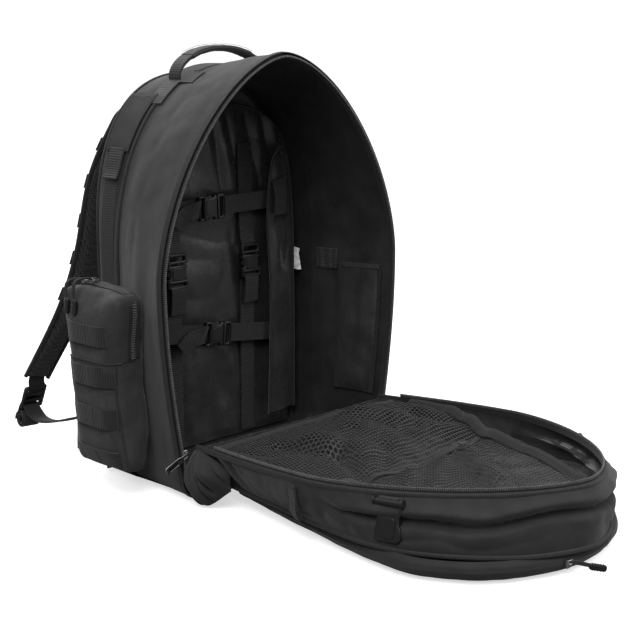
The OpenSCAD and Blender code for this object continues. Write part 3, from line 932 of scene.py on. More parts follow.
def build_panel():
    """Glossy inner panel, its edge binding, and the side flap with its bound edge."""
    grid = arch_panel(PANEL_DIMS, 9, 454, PANEL_Y + 2, inset=1, rows=150, cols=110, relief=panel_relief)
    make("inner_panel_nylon", [sheet(grid, 2.0)], GLOSS, "root", ("inner_panel",),
         crease=60)
    half = arch(147, 147, 330, 455, 2.8, 90, low=10)
    loop = np.vstack([half[::-1] * [-1, 1], half[1:]])
    edge = np.stack([loop[:, 0], np.full(len(loop), PANEL_Y + 1.5), loop[:, 1]], axis=1)
    edge[:, 1] += noise(edge, 40, 6) * 2.0
    make("inner_panel_binding", [tape(edge, (0, 1, 0), 9, 2.4, 0.6)], BINDING, "root")
    left = curve([(86, 0, 34), (90, 0, 120), (92, 0, 210), (88, 0, 300), (97, 0, 372), (112, 0, 394)], 70)
    right = curve([(138, 0, 34), (139, 0, 120), (139, 0, 210), (138, 0, 300), (132, 0, 360), (120, 0, 396)],
                  70)
    share = np.linspace(0, 1, 36)[None, :, None]
    flap = left[:, None] * (1 - share) + right[:, None] * share
    slack = folds(flap * [1, 1, 0.5], 26, 4) * 5 + noise(flap, 50, 8) * 3
    flap[..., 1] = PANEL_Y - 20 + 7 * share[..., 0] - slack * np.sin(math.pi * share[..., 0])
    make("wing_pocket_nylon", [sheet(flap, 1.0)], GLOSS, "root", ("wing_pocket",),
         crease=60)
    bound = [tape(flap[:, 0] + [0, -0.6, 0], (0.6, 0.8, 0), 10, 2.0, 0.5),
             tape(flap[:, -1], (0, 1, 0), 9, 2.0, 0.5)]
    make("wing_pocket_binding", bound, BINDING, "root")
    seam = stitches(flap[:, 1] + [0, -1.2, 0], (0, -1, 0))
    tab = webbing([(104, PANEL_Y - 26, 352), (105, PANEL_Y - 29, 330), (106, PANEL_Y - 26, 306)],
                  (1, 0, 0.1), 22)
    make("wing_pocket_tab", [tab], RIBBED, "root")
    return [seam]


# Outlines of the side-release buckles, in millimetres: x across the strap, y towards the tongue.


def socket_parts(place):
    """Socket half: body with side windows, ladder bar and a raised back."""
    left = [(-15, -15), (-16, -12), (-16, -2), (-12.4, 0), (-12.4, 9), (-16, 11), (-15, 15)]
    outline = left + [(-x, y) for x, y in reversed(left)]
    outline = outline[::-1]
    slot = rounded(-12.8, -12.4, 12.8, -8.2, 1.2)[::-1]
    raised = rounded(-9, -4, 9, 12, 3.5)
    above = place.copy()
    above[:3, 3] += place[:3, 2] * 4.2
    bar = place.copy()
    bar[:3, 3] += place[:3, 2] * 4.4 - place[:3, 1] * 6.0
    return [plate([outline, slot], 8, 1.5, place), plate([raised], 1.4, 0.6, above),
            plate([rounded(-15, -1.6, 15, 1.6, 1.4)], 2.2, 1.0, bar)]


def tongue_parts(place):
    """Tongue half: slotted bar with two prongs that show in the socket's windows."""
    left = [(-16, 0.5), (-16, 12), (-14.5, 13.8)]
    outline = (left + [(-x, y) for x, y in reversed(left)])[::-1]
    slot = rounded(-12, 4.6, 12, 9.4, 1.2)[::-1]
    prong = [(9.4, 1), (13.4, 1), (13.8, -8), (15.6, -11.5), (14.4, -15), (10.8, -15.5), (10.4, -9)][::-1]
    other = [(-x, y) for x, y in reversed(prong)]
    rib = rounded(-13.4, 11.2, 13.4, 13.0, 0.8)
    above = place.copy()
    above[:3, 3] += place[:3, 2] * 3.6
    return [plate([outline, slot], 6.4, 1.3, place), plate([prong], 4.2, 0.8, place),
            plate([other], 4.2, 0.8, place), plate([rib], 1.6, 0.6, above)]


def slack_part(path, body, tongue, name, side, width, near, far, hides=()):
    """Webbing sewn to the pack at one end and held by a tongue at the other."""
    part = webbing(path, side, width)
    near, far = np.asarray(near, float), np.asarray(far, float)
    span = far - near
    share = lambda p: ease(((p - near) @ span) / (span @ span))
    return make(name, [part], RIBBED, (body, tongue), hides, share)


def build_webs():
    """The two upright webs, broken by their buckles."""
    low_parts, tails = [], []
    for x, side in zip(WEB_X, ("left", "right")):
        middle = node_centre(f"{side}_web_tongue")
        foot, top = 240 - 9, 240 + 25
        buckle_y = middle[1]
        low = [(x, WEB_LINE_Y + 1, 14), (x, WEB_LINE_Y, 120), (x, WEB_LINE_Y - 1, 205),
               (x, buckle_y + 1, foot)]
        low_parts.append(webbing(curve(low, 60), (1, 0, 0), 25))
        tail = [(x + 1, buckle_y + 3, foot - 2), (x + 1, buckle_y - 3, foot - 8),
                (x + 2, buckle_y + 1, foot - 40)]
        tails.append(webbing(curve(tail, 30), (1, 0.05, 0), 25))
        high = [(x, WEB_LINE_Y + 1, 402), (x, WEB_LINE_Y, 350), (x, WEB_LINE_Y - 1, 290),
                (x, buckle_y + 1, top)]
        hides = ("inner_vertical_webs",) if side == "left" else ()
        slack_part(curve(high, 60), "root", f"{side}_web_tongue", f"{side}_web_upper", (1, 0, 0), 25,
                   (x, 0, 398), (x, 0, top + 12), hides)
        place = placed((x, buckle_y, 240), (1, 0, 0), (0, 0, 1))
        make(f"{side}_web_socket", socket_parts(place), ACETAL, "root")
        high_place = place.copy()
        high_place[:3, 3] = (x, buckle_y, 256)
        make(f"{side}_web_tongue_moulding", tongue_parts(high_place), ACETAL, f"{side}_web_tongue",
             (f"{side}_web_tongue",))
    make("web_lower_parts", low_parts + tails, RIBBED, "root")


def build_cross_straps():
    """The two straps across the panel with their buckles and loose ends."""
    fixed = []
    for z0, z1, socket_x, tongue_x, body in (UPPER, LOWER):
        name = body.split("_")[0]
        slope = math.atan2(z1 - z0, 2 * STRAP_HALF)
        along = np.array([math.cos(slope), 0, math.sin(slope)])
        up = np.array([-math.sin(slope), 0, math.cos(slope)])
        middle = np.array([0, STRAP_LINE_Y, (z0 + z1) / 2])
        buckle_y = node_centre(body)[1]
        at = lambda d, lift=0.0: middle + along * d + np.array([0, -lift, 0])
        lift = STRAP_LINE_Y - buckle_y
        left = curve([at(-STRAP_HALF, -3), at(-105, 1), at(-62, 3.2), at(socket_x - 24, 2),
                      at(socket_x - 10, lift)], 60)
        fixed.append(webbing(left, up, 24))
        right = curve([at(STRAP_HALF, -3), at(108, 3), at(64, 3.2), at(tongue_x + 24, 2.2),
                       at(tongue_x + 8, lift)], 60)
        slack_part(right, "root", body, f"{name}_strap_right", up, 24, at(STRAP_HALF - 8),
                   at(tongue_x + 26),
                   (f"inner_strap_{name}",))
        start = socket_x - 8
        tail = curve([at(start - 4, lift + 1), at(start - 14, lift + 7), at(start - 30, 9) - up * 6,
                      at(start - 44, 8) - up * 20], 40)
        fixed.append(webbing(tail, up + along * 0.3, 22, 1.6))
        place = np.eye(4)
        place[:3, :3] = np.stack([-up, along, np.cross(-up, along)], axis=1)
        place[:3, 3] = middle + along * socket_x + np.array([0, -lift, 0])
        make(f"{name}_strap_socket", socket_parts(place), ACETAL, "root", ("buckle_sockets",))
        place[:3, 3] = middle + along * tongue_x + np.array([0, -lift, 0])
        make(f"{name}_strap_tongue_moulding", tongue_parts(place), ACETAL, body, (body,))
    make("cross_strap_left_parts", fixed, RIBBED, "root")


def build_label():
    """Blank sewn-in label, a folded loop of woven tape."""
    low, high = box_mm("care_label")
    z = (low[2] + high[2]) / 2
    x = (low[0] + high[0]) / 2
    path = curve([(x - 2, high[1], z), (x, (low[1] + high[1]) / 2, z + 1), (x + 2, low[1] + 2, z - 1),
                  (x + 3.5, low[1], z - 1)], 24)
    part = tape(path, (0.05, 0, 1), high[2] - low[2] - 2, 0.6, step=1.0)
    make("blank_label", [part], LABEL, "root", ("care_label",))


# ---- on the shell ----------------------------------------------------------------------------


def shell_spot(z, y, lift=0.0, front=False):
    """Point of the shell's outer face on the +X side at height z (an array) and depth y."""
    z = np.atleast_1d(np.asarray(z, float))
    if front:
        share = (y - RIM_Y) / (SEAM_Y - RIM_Y)
        ring_points = rim_ring(-lift) * (1 - share) + seam_ring(-lift) * share
    else:
        share = np.clip((y - SEAM_Y) / (REAR_Y - 7 - SEAM_Y), 0, 1)
        ring_points = seam_ring(-lift) * (1 - share) + rear_ring(-lift) * share
    side = ring_points[:90]
    order = np.argsort(side[:, 1])
    x = np.interp(z, side[order, 1], side[order, 0])
    return np.stack([x, np.full_like(x, float(y)), z], axis=1)


def shell_patch(heights, depths, lift, front=False):
    return np.array([shell_spot(heights, y, lift, front) for y in depths])


def build_outside(threads):
    """Shoulder patches with their tabs, side webs, and the patches beside the handle."""
    heights = np.linspace(470, 404, 26)
    depths = np.linspace(38, REAR_Y - 9, 14)
    patch = shell_patch(heights, depths, 2.4)
    patch -= normals(patch) * noise(patch, 18, 2)[..., None] * 0.5
    part = sheet(patch[::-1], 1.6)
    make("shoulder_patches", [part, mirrored(part)], SHELL, "root", ("top_patches",))
    box_line = np.vstack([shell_spot(heights, depths[1], 4.2), shell_spot(heights[-2:-1], depths[-2], 4.2),
                          shell_spot(heights[::-1], depths[-2], 4.2)])
    cross = [shell_patch(heights[[1, 1]], [depths[1], depths[-2]], 4.4)[:, 0],
             shell_patch(heights[[-2, -2]], [depths[1], depths[-2]], 4.4)[:, 0]]
    for line in (box_line, cross[0], cross[1]):
        threads.append(stitches(line, (0.75, 0, 0.65)))
    web = shell_spot(np.linspace(402, 22, 120), 56, 2.2)
    side = webbing(web, (0, 1, 0), 25, rib=0.3)
    make("side_web_straps", [side, mirrored(side)], RIBBED, "root", ("side_webs",))
    tab_path = curve(np.vstack([shell_spot([408, 396, 382], 54, 5.5), shell_spot([372], 54, 8.0)]), 30)
    tab = webbing(tab_path, (0, 1, 0), 27, 2.4)
    make("shoulder_tabs", [tab, mirrored(tab)], RIBBED, "root")
    second = sheet(shell_patch(np.linspace(496, 484, 8), np.linspace(-6, 24, 12), 2.6, True)[::-1], 1.2)
    make("top_patch_pair", [second, mirrored(second)], SHELL, "root")


# ---- side walls, inside ----------------------------------------------------------------------


def build_wall_pocket():
    """Glossy pocket and loop patch on the lining of the right wall."""
    heights = np.linspace(66, 236, 46)
    depths = np.linspace(-68, -12, 20)
    grid = shell_patch(heights, depths, -6.5, True)
    s = np.linspace(0, 1, len(heights))[None, :]
    t = np.linspace(0, 1, len(depths))[:, None]
    puff = np.sin(math.pi * s) ** 0.5 * np.sin(math.pi * t) ** 0.5
    wave = folds(grid * [1, 1, 0.6], 24, 11) * 3.6 + noise(grid, 40, 12) * 2
    grid[..., 0] -= puff * (2.4 + wave)
    make("wall_pocket_face", [sheet(grid, 0.8)], GLOSS, ("root", "right_side"), ("wall_pocket",),
         wall_weight)
    rim = [np.vstack([grid[0], grid[1:, -1], grid[-1, ::-1][1:]])]
    edge = [tape(rim[0] + [-0.6, 0, 0], (0, 0.7, 0.7), 7, 1.2)]
    make("wall_pocket_binding", edge, BINDING, ("root", "right_side"), (), wall_weight)
    seam = stitches(shell_spot(np.linspace(70, 232, 20), -40, -7.6, True), (-1, 0, 0))
    make("wall_pocket_stitches", [seam], THREAD, ("root", "right_side"), (), wall_weight)
    patch = shell_patch(np.linspace(229, 256, 12), np.linspace(-6, 24, 14), -5.8, True)
    make("loop_patch_pile", [sheet(patch, 1.6)], FOAM, ("root", "right_side"), ("loop_patch",), wall_weight)


# ---- lid -------------------------------------------------------------------------------------


def on_lid(points):
    """Points (x, distance from the hinge edge, height over the rim plane) to the CAD frame."""
    p = np.asarray(points, float)
    y = LID_Y - p[..., 1] * math.cos(LID_TILT) + p[..., 2] * math.sin(LID_TILT)
    z = LID_RIM_Z + p[..., 1] * math.sin(LID_TILT) + p[..., 2] * math.cos(LID_TILT)
    return np.stack([p[..., 0], y, z], axis=-1)


def lid_loop(foot, wide, wide_at, length, power, count=130):
    """Outline of the lid from its left foot round the tip to its right foot, as (x, distance)."""
    half = arch(foot, wide, wide_at, length, power, count)
    return np.vstack([half[::-1] * [-1, 1], half[1:]])


def lid_rim_loop(inset=0.0):
    return lid_loop(160 - inset, LID_WIDE - inset, 200, LID_LEN - inset, 1.66)


def lid_seam_loop(inset=0.0):
    return lid_loop(134 - inset, 161 - inset, 260, LID_LEN + 8 - inset, 1.76)


def leaning(points):
    """The lid's lower part, slumped a little to the left as it lies open."""
    shift = ease((LID_Y - points[..., 1] - 100) / 250) * ease((LID_RIM_Z - points[..., 2]) / 40)
    return points + shift[..., None] * np.array([-11.0, 0, 0])


def lid_wall_grid(inset, rows, swell):
    """Wall of the lid from its rim down to the lower seam, with its sag and creases."""
    rim = lid_rim_loop(inset)
    top = on_lid(np.column_stack([rim, np.full(len(rim), -0.5)]))
    seam = lid_seam_loop(inset)
    bottom = np.column_stack([seam[:, 0], LID_Y - seam[:, 1], np.full(len(seam), float(LID_SEAM_Z))])
    t = np.linspace(0, 1, rows)[:, None, None]
    grid = top[None] * (1 - t) + bottom[None] * t
    out = -normals(grid)
    share = t[..., 0]
    reach = (LID_Y - grid[..., 1]) / LID_LEN
    near_hinge = ease((0.26 - reach) / 0.24)
    side = np.arange(len(rim)) / (len(rim) - 1)
    wander = 0.05 * np.sin(side * 23) + 0.04 * np.sin(side * 51 + 1)
    crease_at = (0.44 - 0.1 * bump(side, 0.66, 0.2) + wander)[None, :]
    deep = ease((reach - 0.42) / 0.3)
    crease = bump(share, crease_at, 0.075) * 11 - bump(share, crease_at - 0.17, 0.12) * 5
    puff = np.sin(math.pi * np.clip(share, 0, 1) ** 0.85) * (4.0 + 3.0 * ease((reach - 0.25) / 0.6))
    stretched = grid * [1, 0.55, 1.6]
    ruffle = (folds(stretched, 38, 21) - 0.35) * 6.0 + (folds(grid, 19, 22) - 0.4) * 2.6
    slanted = np.stack([grid[..., 0] * 0.2, grid[..., 1] - grid[..., 2] * 0.9, grid[..., 2] * 0.3], axis=-1)
    bunched = (folds(slanted, 23, 23) - 0.45) * 24 * near_hinge
    held = np.sin(math.pi * np.clip(share, 0, 1)) ** 0.6
    moved = puff - crease * deep + (ruffle + bunched) * held
    return leaning(grid + out * (moved * swell)[..., None])


def lid_height_limit(x, along):
    """Share from 0 at the lid's rim to 1 well inside it."""
    half = arch_half_width(along, 160, LID_WIDE, 200, LID_LEN, 1.66)
    return np.clip((half - np.abs(x)) / 42, 0, 1)


# Folds of the net: two ends as (x, distance from the hinge), half width and height, in mm.
NET_FOLDS = (
    ((-92, 66), (-78, 150), 8, -15), ((-78, 150), (-118, 226), 9, -11), ((-62, 92), (-50, 158), 12, 9),
    ((-77, 149), (-12, 112), 8, -8), ((-66, 178), (60, 172), 10, 8), ((-24, 172), (-70, 216), 7, -8),
    ((26, 246), (-34, 338), 8, 10), ((38, 262), (-58, 392), 7, 9), ((6, 250), (-60, 352), 8, -11),
    ((10, 238), (-112, 318), 7, 7), ((-84, 262), (-130, 300), 7, 6), ((20, 300), (-22, 398), 7, -9),
    ((60, 150), (100, 110), 9, -7), ((20, 60), (70, 140), 10, 6),
)


def fold_line(x, along, start, end, width):
    """Height, from 0 to 1, of a straight fold that fades out at its ends."""
    ax, ay = start
    dx, dy = end[0] - ax, end[1] - ay
    t = ((x - ax) * dx + (along - ay) * dy) / (dx * dx + dy * dy)
    held = np.clip(t, 0, 1)
    away = np.hypot(x - ax - held * dx, along - ay - held * dy)
    return np.exp(-((away / width) ** 2))


def net_height(x, along):
    """Height of the pocket net over the rim plane: stretched at its edges, slack and mounded inside."""
    flat = np.stack([x, along, x * 0], axis=-1)
    inside = lid_height_limit(x, along) ** 0.7
    back = ease((along - 20) / 50)
    mound = 18 * bump(along, 88, 58) * bump(x, 40, 100) + 7 * bump(along, 150, 60) * bump(x, -60, 80)
    valley = -12 * bump(along, 222 - 0.10 * x, 17) * bump(x, -20, 150)
    shape = mound + valley
    for start, end, width, height in NET_FOLDS:
        shape = shape + 0.7 * height * fold_line(x, along, start, end, width * 1.25)
    slack = (folds(flat * [1.0, 0.6, 1], 40, 31) - 0.3) * 7 + noise(flat, 90, 32) * 3 + noise(flat, 16,
                                                                                              33) * 0.8
    far = -9 * ease((along - 300) / 90)
    return -2.0 + (shape + slack + far) * inside * (0.35 + 0.65 * back)


BOUND_EDGE = [(150, 60), (141, 96), (131, 140), (108, 196), (84, 240), (64, 286), (58, 322), (52, 362),
              (38, 404)]


def net_right_limit(along):
    """How far the net reaches towards the right rim: it stops at its own bound edge."""
    edge = np.array(BOUND_EDGE, float)
    return np.interp(along, edge[:, 1], edge[:, 0], left=152, right=30)


NET_STRETCH = 1.45


def net_part(pitch, low_edge, high_edge):
    """Open net between two distances from the hinge: a honeycomb of ribbons, each cell one hole."""
    step_x, step_y = pitch, pitch * math.sqrt(3) / 2 * NET_STRETCH
    angles = np.radians(np.arange(6) * 60 + 30)
    cells = []
    for row in range(int(LID_LEN / step_y) + 1):
        along = row * step_y
        half = float(arch_half_width(np.array(along), 160, LID_WIDE, 200, LID_LEN, 1.66)) - 7
        shift = step_x / 2 if row % 2 else 0.0
        for x in np.arange(-half - (-half % step_x) + shift, min(half, net_right_limit(along)), step_x):
            if x > -half and low_edge(x) < along < high_edge(x):
                cells.append((x, along))
    cells = np.array(cells)
    outer = pitch / math.sqrt(3)
    across, along = outer * np.cos(angles), outer * np.sin(angles) * NET_STRETCH
    rings = [np.stack([cells[:, :1] + k * across, cells[:, 1:] + k * along], axis=-1) for k in (1.0, 0.78)]
    flat = np.concatenate(rings, axis=1)
    height = net_height(flat[..., 0], flat[..., 1])
    height[:, 6:] += 0.25
    points = on_lid(np.concatenate([flat, height[..., None]], axis=-1))
    count = len(cells)
    upper = points.reshape(-1, 3)
    lower = upper - np.array([0, 0, 0.5])
    faces = []
    for c in range(count):
        base = c * 12
        for j in range(6):
            k = (j + 1) % 6
            a, b, d, e = base + j, base + k, base + 6 + k, base + 6 + j
            faces.append((a, b, d, e))
            faces.append((e + count * 12, d + count * 12, b + count * 12, a + count * 12))
            faces.append((e, d, d + count * 12, e + count * 12))
    both = np.vstack([upper, lower])
    cloth = np.vstack([np.column_stack([flat.reshape(-1, 2), np.zeros(count * 12)])] * 2)
    return both, faces, cloth


def on_net(line, lift=1.2):
    line = np.asarray(line, float)
    return on_lid(np.column_stack([line, net_height(line[:, 0], line[:, 1]) + lift]))


def mid_line(x):
    """Distance from the hinge of the seam that divides the net, at x."""
    return 226 + 14 * np.sin((x + 60) / 52) - 0.09 * x


def build_lid():
    outer = lid_wall_grid(0, 34, 1.0)
    make("lid_wall_cloth", [sheet(outer[::-1], 1.6)], SHELL_LID, "lid", ("lid_shell",))
    inner = lid_wall_grid(4.0, 16, 0.7)
    make("lid_wall_lining", [sheet(inner, 0.8)], LINER, "lid")
    rim = lid_rim_loop(1.8)
    line = on_lid(np.column_stack([rim, np.zeros(len(rim))]))
    binding = [tape(line, (0, 0, 1), 7.5, 4.4, 0.4)]
    seam = lid_seam_loop(-1.0)
    seam_line = np.column_stack([seam[:, 0], LID_Y - seam[:, 1], np.full(len(seam), float(LID_SEAM_Z))])
    binding.append(tube(leaning(seam_line), 2.6))
    make("lid_piping", binding, BINDING, "lid")
    ring_line = lid_rim_loop(4.0)
    keep = ring_line[:, 1] > 34
    tape_line = on_lid(np.column_stack([ring_line[keep], np.full(keep.sum(), 2.2)]))
    make("lid_zip_band", [tape(tape_line, (0, 0, 1), 9, 0.9)], ZIP_TAPE, "lid", ("lid_zip_tape",))
    coil_line = on_lid(np.column_stack([lid_rim_loop(3.6)[keep], np.full(keep.sum(), 6.6)]))
    make("lid_zip_coil", [teeth(coil_line, (0, 0, 1), 2.2, (3.6, 1.5, 2.6))], ZIP_COIL, "lid")
    build_lid_floor()
    build_nets()
    build_lid_pocket()
    build_lid_hardware()
    build_hinge()


def lid_cover(outline, relief, rows=90, cols=70):
    """A grid over a lid outline: rows run from the hinge to the tip. relief gives each point's z."""
    foot, wide, wide_at, length, power, start = outline
    along = start + (length - start - 1.0) * np.linspace(0, 1, rows) ** 0.88
    half = arch_half_width(along, foot, wide, wide_at, length, power)
    x = np.maximum(half, 1.0)[:, None] * np.linspace(-1, 1, cols)[None, :]
    grid = np.stack([x, np.repeat(LID_Y - along[:, None], cols, 1), np.zeros_like(x)], axis=-1)
    grid[..., 2] = relief(grid)
    return grid


def build_lid_floor():
    """Glossy lining on the floor of the lid, seen beyond the net's bound edge."""
    def relief(g):
        crease = folds(g * [1, 0.6, 1], 30, 41) * 9 + noise(g, 60, 42) * 5
        far = ease((g[..., 0] - 20) / 60) * ease((LID_Y - g[..., 1] - 180) / 80) * 13
        return 34 + np.clip(crease, -3, 12) + far
    grid = lid_cover((128, 154, 260, LID_LEN + 2, 1.76, 4), relief)
    make("lid_floor_lining", [sheet(grid, 1.2)], GLOSS, "lid", ("lid_liner",),
         crease=60)


def build_nets():
    """The two nets, the seam between them, and the bound free edge on the far side."""
    back_edge = lambda x: 22 + 10 * ease((x - 60) / 60)
    main = net_part(4.6, back_edge, mid_line)
    make("lid_net_main", [main], NET, "lid", ("lid_mesh_main",), crease=80)
    tip = net_part(4.6, lambda x: mid_line(x), lambda x: 424)
    make("lid_net_tip", [tip], NET, "lid", ("lid_mesh_tip",), crease=80)
    x = np.linspace(-168, 84, 90)
    seam = on_net(np.column_stack([x, mid_line(x)]), 1.6)
    free = on_net(curve([(a, b, 0) for a, b in BOUND_EDGE], 110)[:, :2], 2.6)
    free[:, 2] += 4.0 * np.sin(np.linspace(0, math.pi, len(free))) + noise(free, 36, 51) * 2.4
    back_x = np.linspace(-148, 150, 80)
    back = on_net(np.column_stack([back_x, [float(back_edge(v)) for v in back_x]]), 1.0)
    near = lid_rim_loop(9.0)
    near = near[(near[:, 0] < 20) & (near[:, 1] > 20)]
    side = on_net(near, 1.0)
    edges = [tape(seam, (0, 1, 0), 8, 1.8, 0.6), tape(free, (0.8, 0.2, 0.5), 13, 2.2, 0.6),
             tape(back, (0, 1, 0.2), 9, 1.6, 0.4), tape(side, (0.5, 0.5, 0), 8, 1.4, 0.4)]
    make("lid_net_bindings", edges, BINDING, "lid")
    second = free + np.array([9, 0, -3]) + noise(free, 30, 52)[:, None] * np.array([2.5, 0, 2])
    make("lid_net_elastic", [tape(second[24:], (0.4, 0.1, 0.9), 8, 1.4, 0.4)], BINDING, "lid")
    threads = [stitches(seam + [0, 2.5, 1.4], (0, 0, 1)), stitches(free + [0, 0, 1.9], (0, 0, 1))]
    make("lid_net_stitches", threads, THREAD, "lid")


def build_lid_pocket():
    """Outer pocket under the lid: a puffed panel whose flat middle rests on the floor."""
    levels = [(2.0, 30, 0.0), (2.0, 18, 0.3), (4.0, 7, 1.0), (9.0, 0, 1.0), (15.0, -4, 1.0),
              (21.0, -2, 1.0), (25.0, 3, 0.3)]
    rows = []
    for z, inset, wave in levels:
        outline = lid_loop(120 - inset, 157 - inset, 300, LID_LEN + 1 - inset, 1.9)
        line = np.column_stack([outline[:, 0], LID_Y - 30 - outline[:, 1] * (1 - 30 / LID_LEN),
                                np.full(len(outline), z)])
        away = unit(line - np.array([0, LID_Y - 240, z]))
        line = line + away * (noise(line, 45, 61) * 1.6 * wave + folds(line, 24, 62) * 1.4 * wave)[:, None]
        rows.append(leaning(line))
    wall = np.array(rows)
    fine = []
    for a, b in zip(wall[:-1], wall[1:]):
        for t in (0, 0.34, 0.67):
            fine.append(a * (1 - t) + b * t)
    fine.append(wall[-1])
    make("lid_pocket_wall", [sheet(np.array(fine), 1.6)], SHELL_LID, "lid", ("lid_pocket",))
    relief = lambda g: 2.3 + noise(g, 50, 63) * 0.3
    base = leaning(lid_cover((96, 134, 306, LID_LEN - 20, 1.9, 31), relief))
    make("lid_pocket_face", [sheet(base[:, ::-1], 1.2)], SHELL_LID, "lid")
    low, high = box_mm("lid_webbing")
    bands, tacks = [], []
    for row in range(4):
        y = high[1] - 12.5 - row * 51
        bands.append(webbing([(low[0], y, 1.15), (high[0], y, 1.15)], (0, 1, 0), 25, 1.5, rib=0.15))
        for x in np.linspace(low[0] + 3, high[0] - 3, 6):
            tacks.append(bartack((x, y, 0.75), (0, 1, 0), (0, 0, -1)))
    make("lid_webbing_rows", bands, RIBBED, "lid", ("lid_webbing",))
    make("lid_webbing_tacks", tacks, THREAD, "lid")


def lid_wall_frame(outer, along, share, sign):
    """Point on the lid's wall with its outward and lengthwise directions."""
    rows, cols = outer.shape[:2]
    row = int(share * (rows - 1))
    line = outer[row]
    side = np.sign(line[:, 0]) == sign
    reach = LID_Y - line[:, 1]
    picked = np.where(side, np.abs(reach - along), 1e9).argmin()
    length = unit(line[min(picked + 1, cols - 1)] - line[picked - 1])
    down = unit(outer[min(row + 2, rows - 1), picked] - outer[max(row - 2, 0), picked])
    out = unit(np.cross(length, down))
    if out[0] * sign < 0:
        out = -out
    return line[picked], out, down


def build_lid_hardware():
    """Compression buckles with their roller bars, keeper tabs, and the outer pocket's zip pull."""
    outer = lid_wall_grid(0, 34, 1.0)
    bodies, webs, tabs, tacks = [], [], [], []
    for sign in (-1, 1):
        spot, out, down = lid_wall_frame(outer, 302, 0.46, sign)
        place = placed(spot + out * 6.5, np.cross(down, out), down)
        place[:3, 2] = out
        place[:3, 0] = np.cross(place[:3, 1], place[:3, 2])
        shape = [(-16, -15), (-16, -6), (-13.5, -3), (-13.5, 6), (-16, 9), (-16, 20), (-12, 24)]
        outline = (shape + [(-x, y) for x, y in reversed(shape)])[::-1]
        slot = rounded(-12.5, -12.5, 12.5, -7.5, 1.2)[::-1]
        bodies.append(plate([outline, slot], 8.5, 1.6, place))
        raised = place.copy()
        raised[:3, 3] += out * 4.4
        bodies.append(plate([rounded(-9, -2, 9, 20, 4)], 1.6, 0.7, raised))
        bar_centre = spot + out * 9.5 - down * 17
        across = place[:3, 0]
        bodies.append(tube([bar_centre - across * 17, bar_centre + across * 17], 3.6, sides=14))
        for end in (-1, 1):
            bodies.append(tube([bar_centre + across * 15.6 * end, bar_centre + across * 18.0 * end], 4.6,
                               sides=14))
        strip = curve([bar_centre + out * 3.2, bar_centre - down * 5 - out * 1,
                       spot + out * 1.6 - down * 10,
                       spot + out * 1.2 + down * 10, spot + out * 1.2 + down * 30], 40)
        webs.append(webbing(strip, across, 24, 1.8))
        spot, out, down = lid_wall_frame(outer, 184, 0.42, sign)
        across = unit(np.cross(down, out))
        loop = curve([spot - down * 20 + out * 1.2, spot - down * 8 + out * 3.4,
                      spot + down * 8 + out * 4.2,
                      spot + down * 20 + out * 1.6], 30)
        tabs.append(webbing(loop, across, 15, 2.0))
        fold = curve([spot - down * 2 + out * 4, spot + down * 10 + out * 6.6,
                      spot + down * 22 + out * 4.4], 20)
        tabs.append(webbing(fold, across, 14, 2.0))
        tacks.append(bartack(spot - down * 17 + out * 3.0, across, out, 13))
    make("lid_buckle_sockets", bodies, ACETAL, "lid", ("lid_buckles",))
    make("lid_buckle_webs", webs, RIBBED, "lid")
    make("lid_keeper_loops", tabs, RIBBED, "lid", ("lid_keeper_tabs",))
    make("lid_keeper_tacks", tacks, THREAD, "lid")
    low, high = box_mm("lid_pocket_slider")
    centre = (low + high) / 2
    place = placed(centre, (1, 0, 0), (0, 0, 1))
    make("lid_pocket_slider_body", slider_parts(place), METAL, "lid_pocket_slider", ("lid_pocket_slider",))
    start = np.array(JOINT["lid_pocket_pull_swing"]["pos_m"]) / MM + [-1, 3, 0]
    along = unit(np.array([math.cos(math.radians(50)), -math.sin(math.radians(50)), -0.12]))
    cord = curve([start, start + along * 8 + [0, 0, 1], start + along * 19], 20)
    loop = [tube(cord, 1.3), tube(cord + [0, 0, 2.2], 1.2)]
    make("lid_pocket_pull_cord", loop, BINDING, "lid_pocket_pull")
    grip = placed(start + along * 27, along, (0, 0, 1))
    make("lid_pocket_pull_grip", grip_parts(grip), ACETAL, "lid_pocket_pull", ("lid_pocket_pull",))


def slider_parts(place):
    """Zip slider: a waisted body with a bridge over it."""
    body = [(-4.6, -4.6), (4.6, -3.6), (5.4, 0), (4.6, 3.6), (-4.6, 4.6), (-5.2, 0)]
    bridge = place.copy()
    bridge[:3, 3] += place[:3, 2] * 3.0
    return [plate([body], 4.6, 1.1, place), plate([rounded(-3.6, -1.2, 3.6, 1.2, 1.0)], 2.6, 0.7, bridge)]


def grip_parts(place):
    """Moulded cord grip, ribbed across, with its x along the pull."""
    parts = [plate([rounded(-9, -3.4, 9, 3.4, 2.4)], 4.4, 1.5, place)]
    for x in np.linspace(-5.5, 5.5, 5):
        rib = place.copy()
        rib[:3, 3] += place[:3, 0] * x
        parts.append(plate([rounded(-0.7, -3.6, 0.7, 3.6, 0.6)], 5.2, 0.5, rib))
    return parts


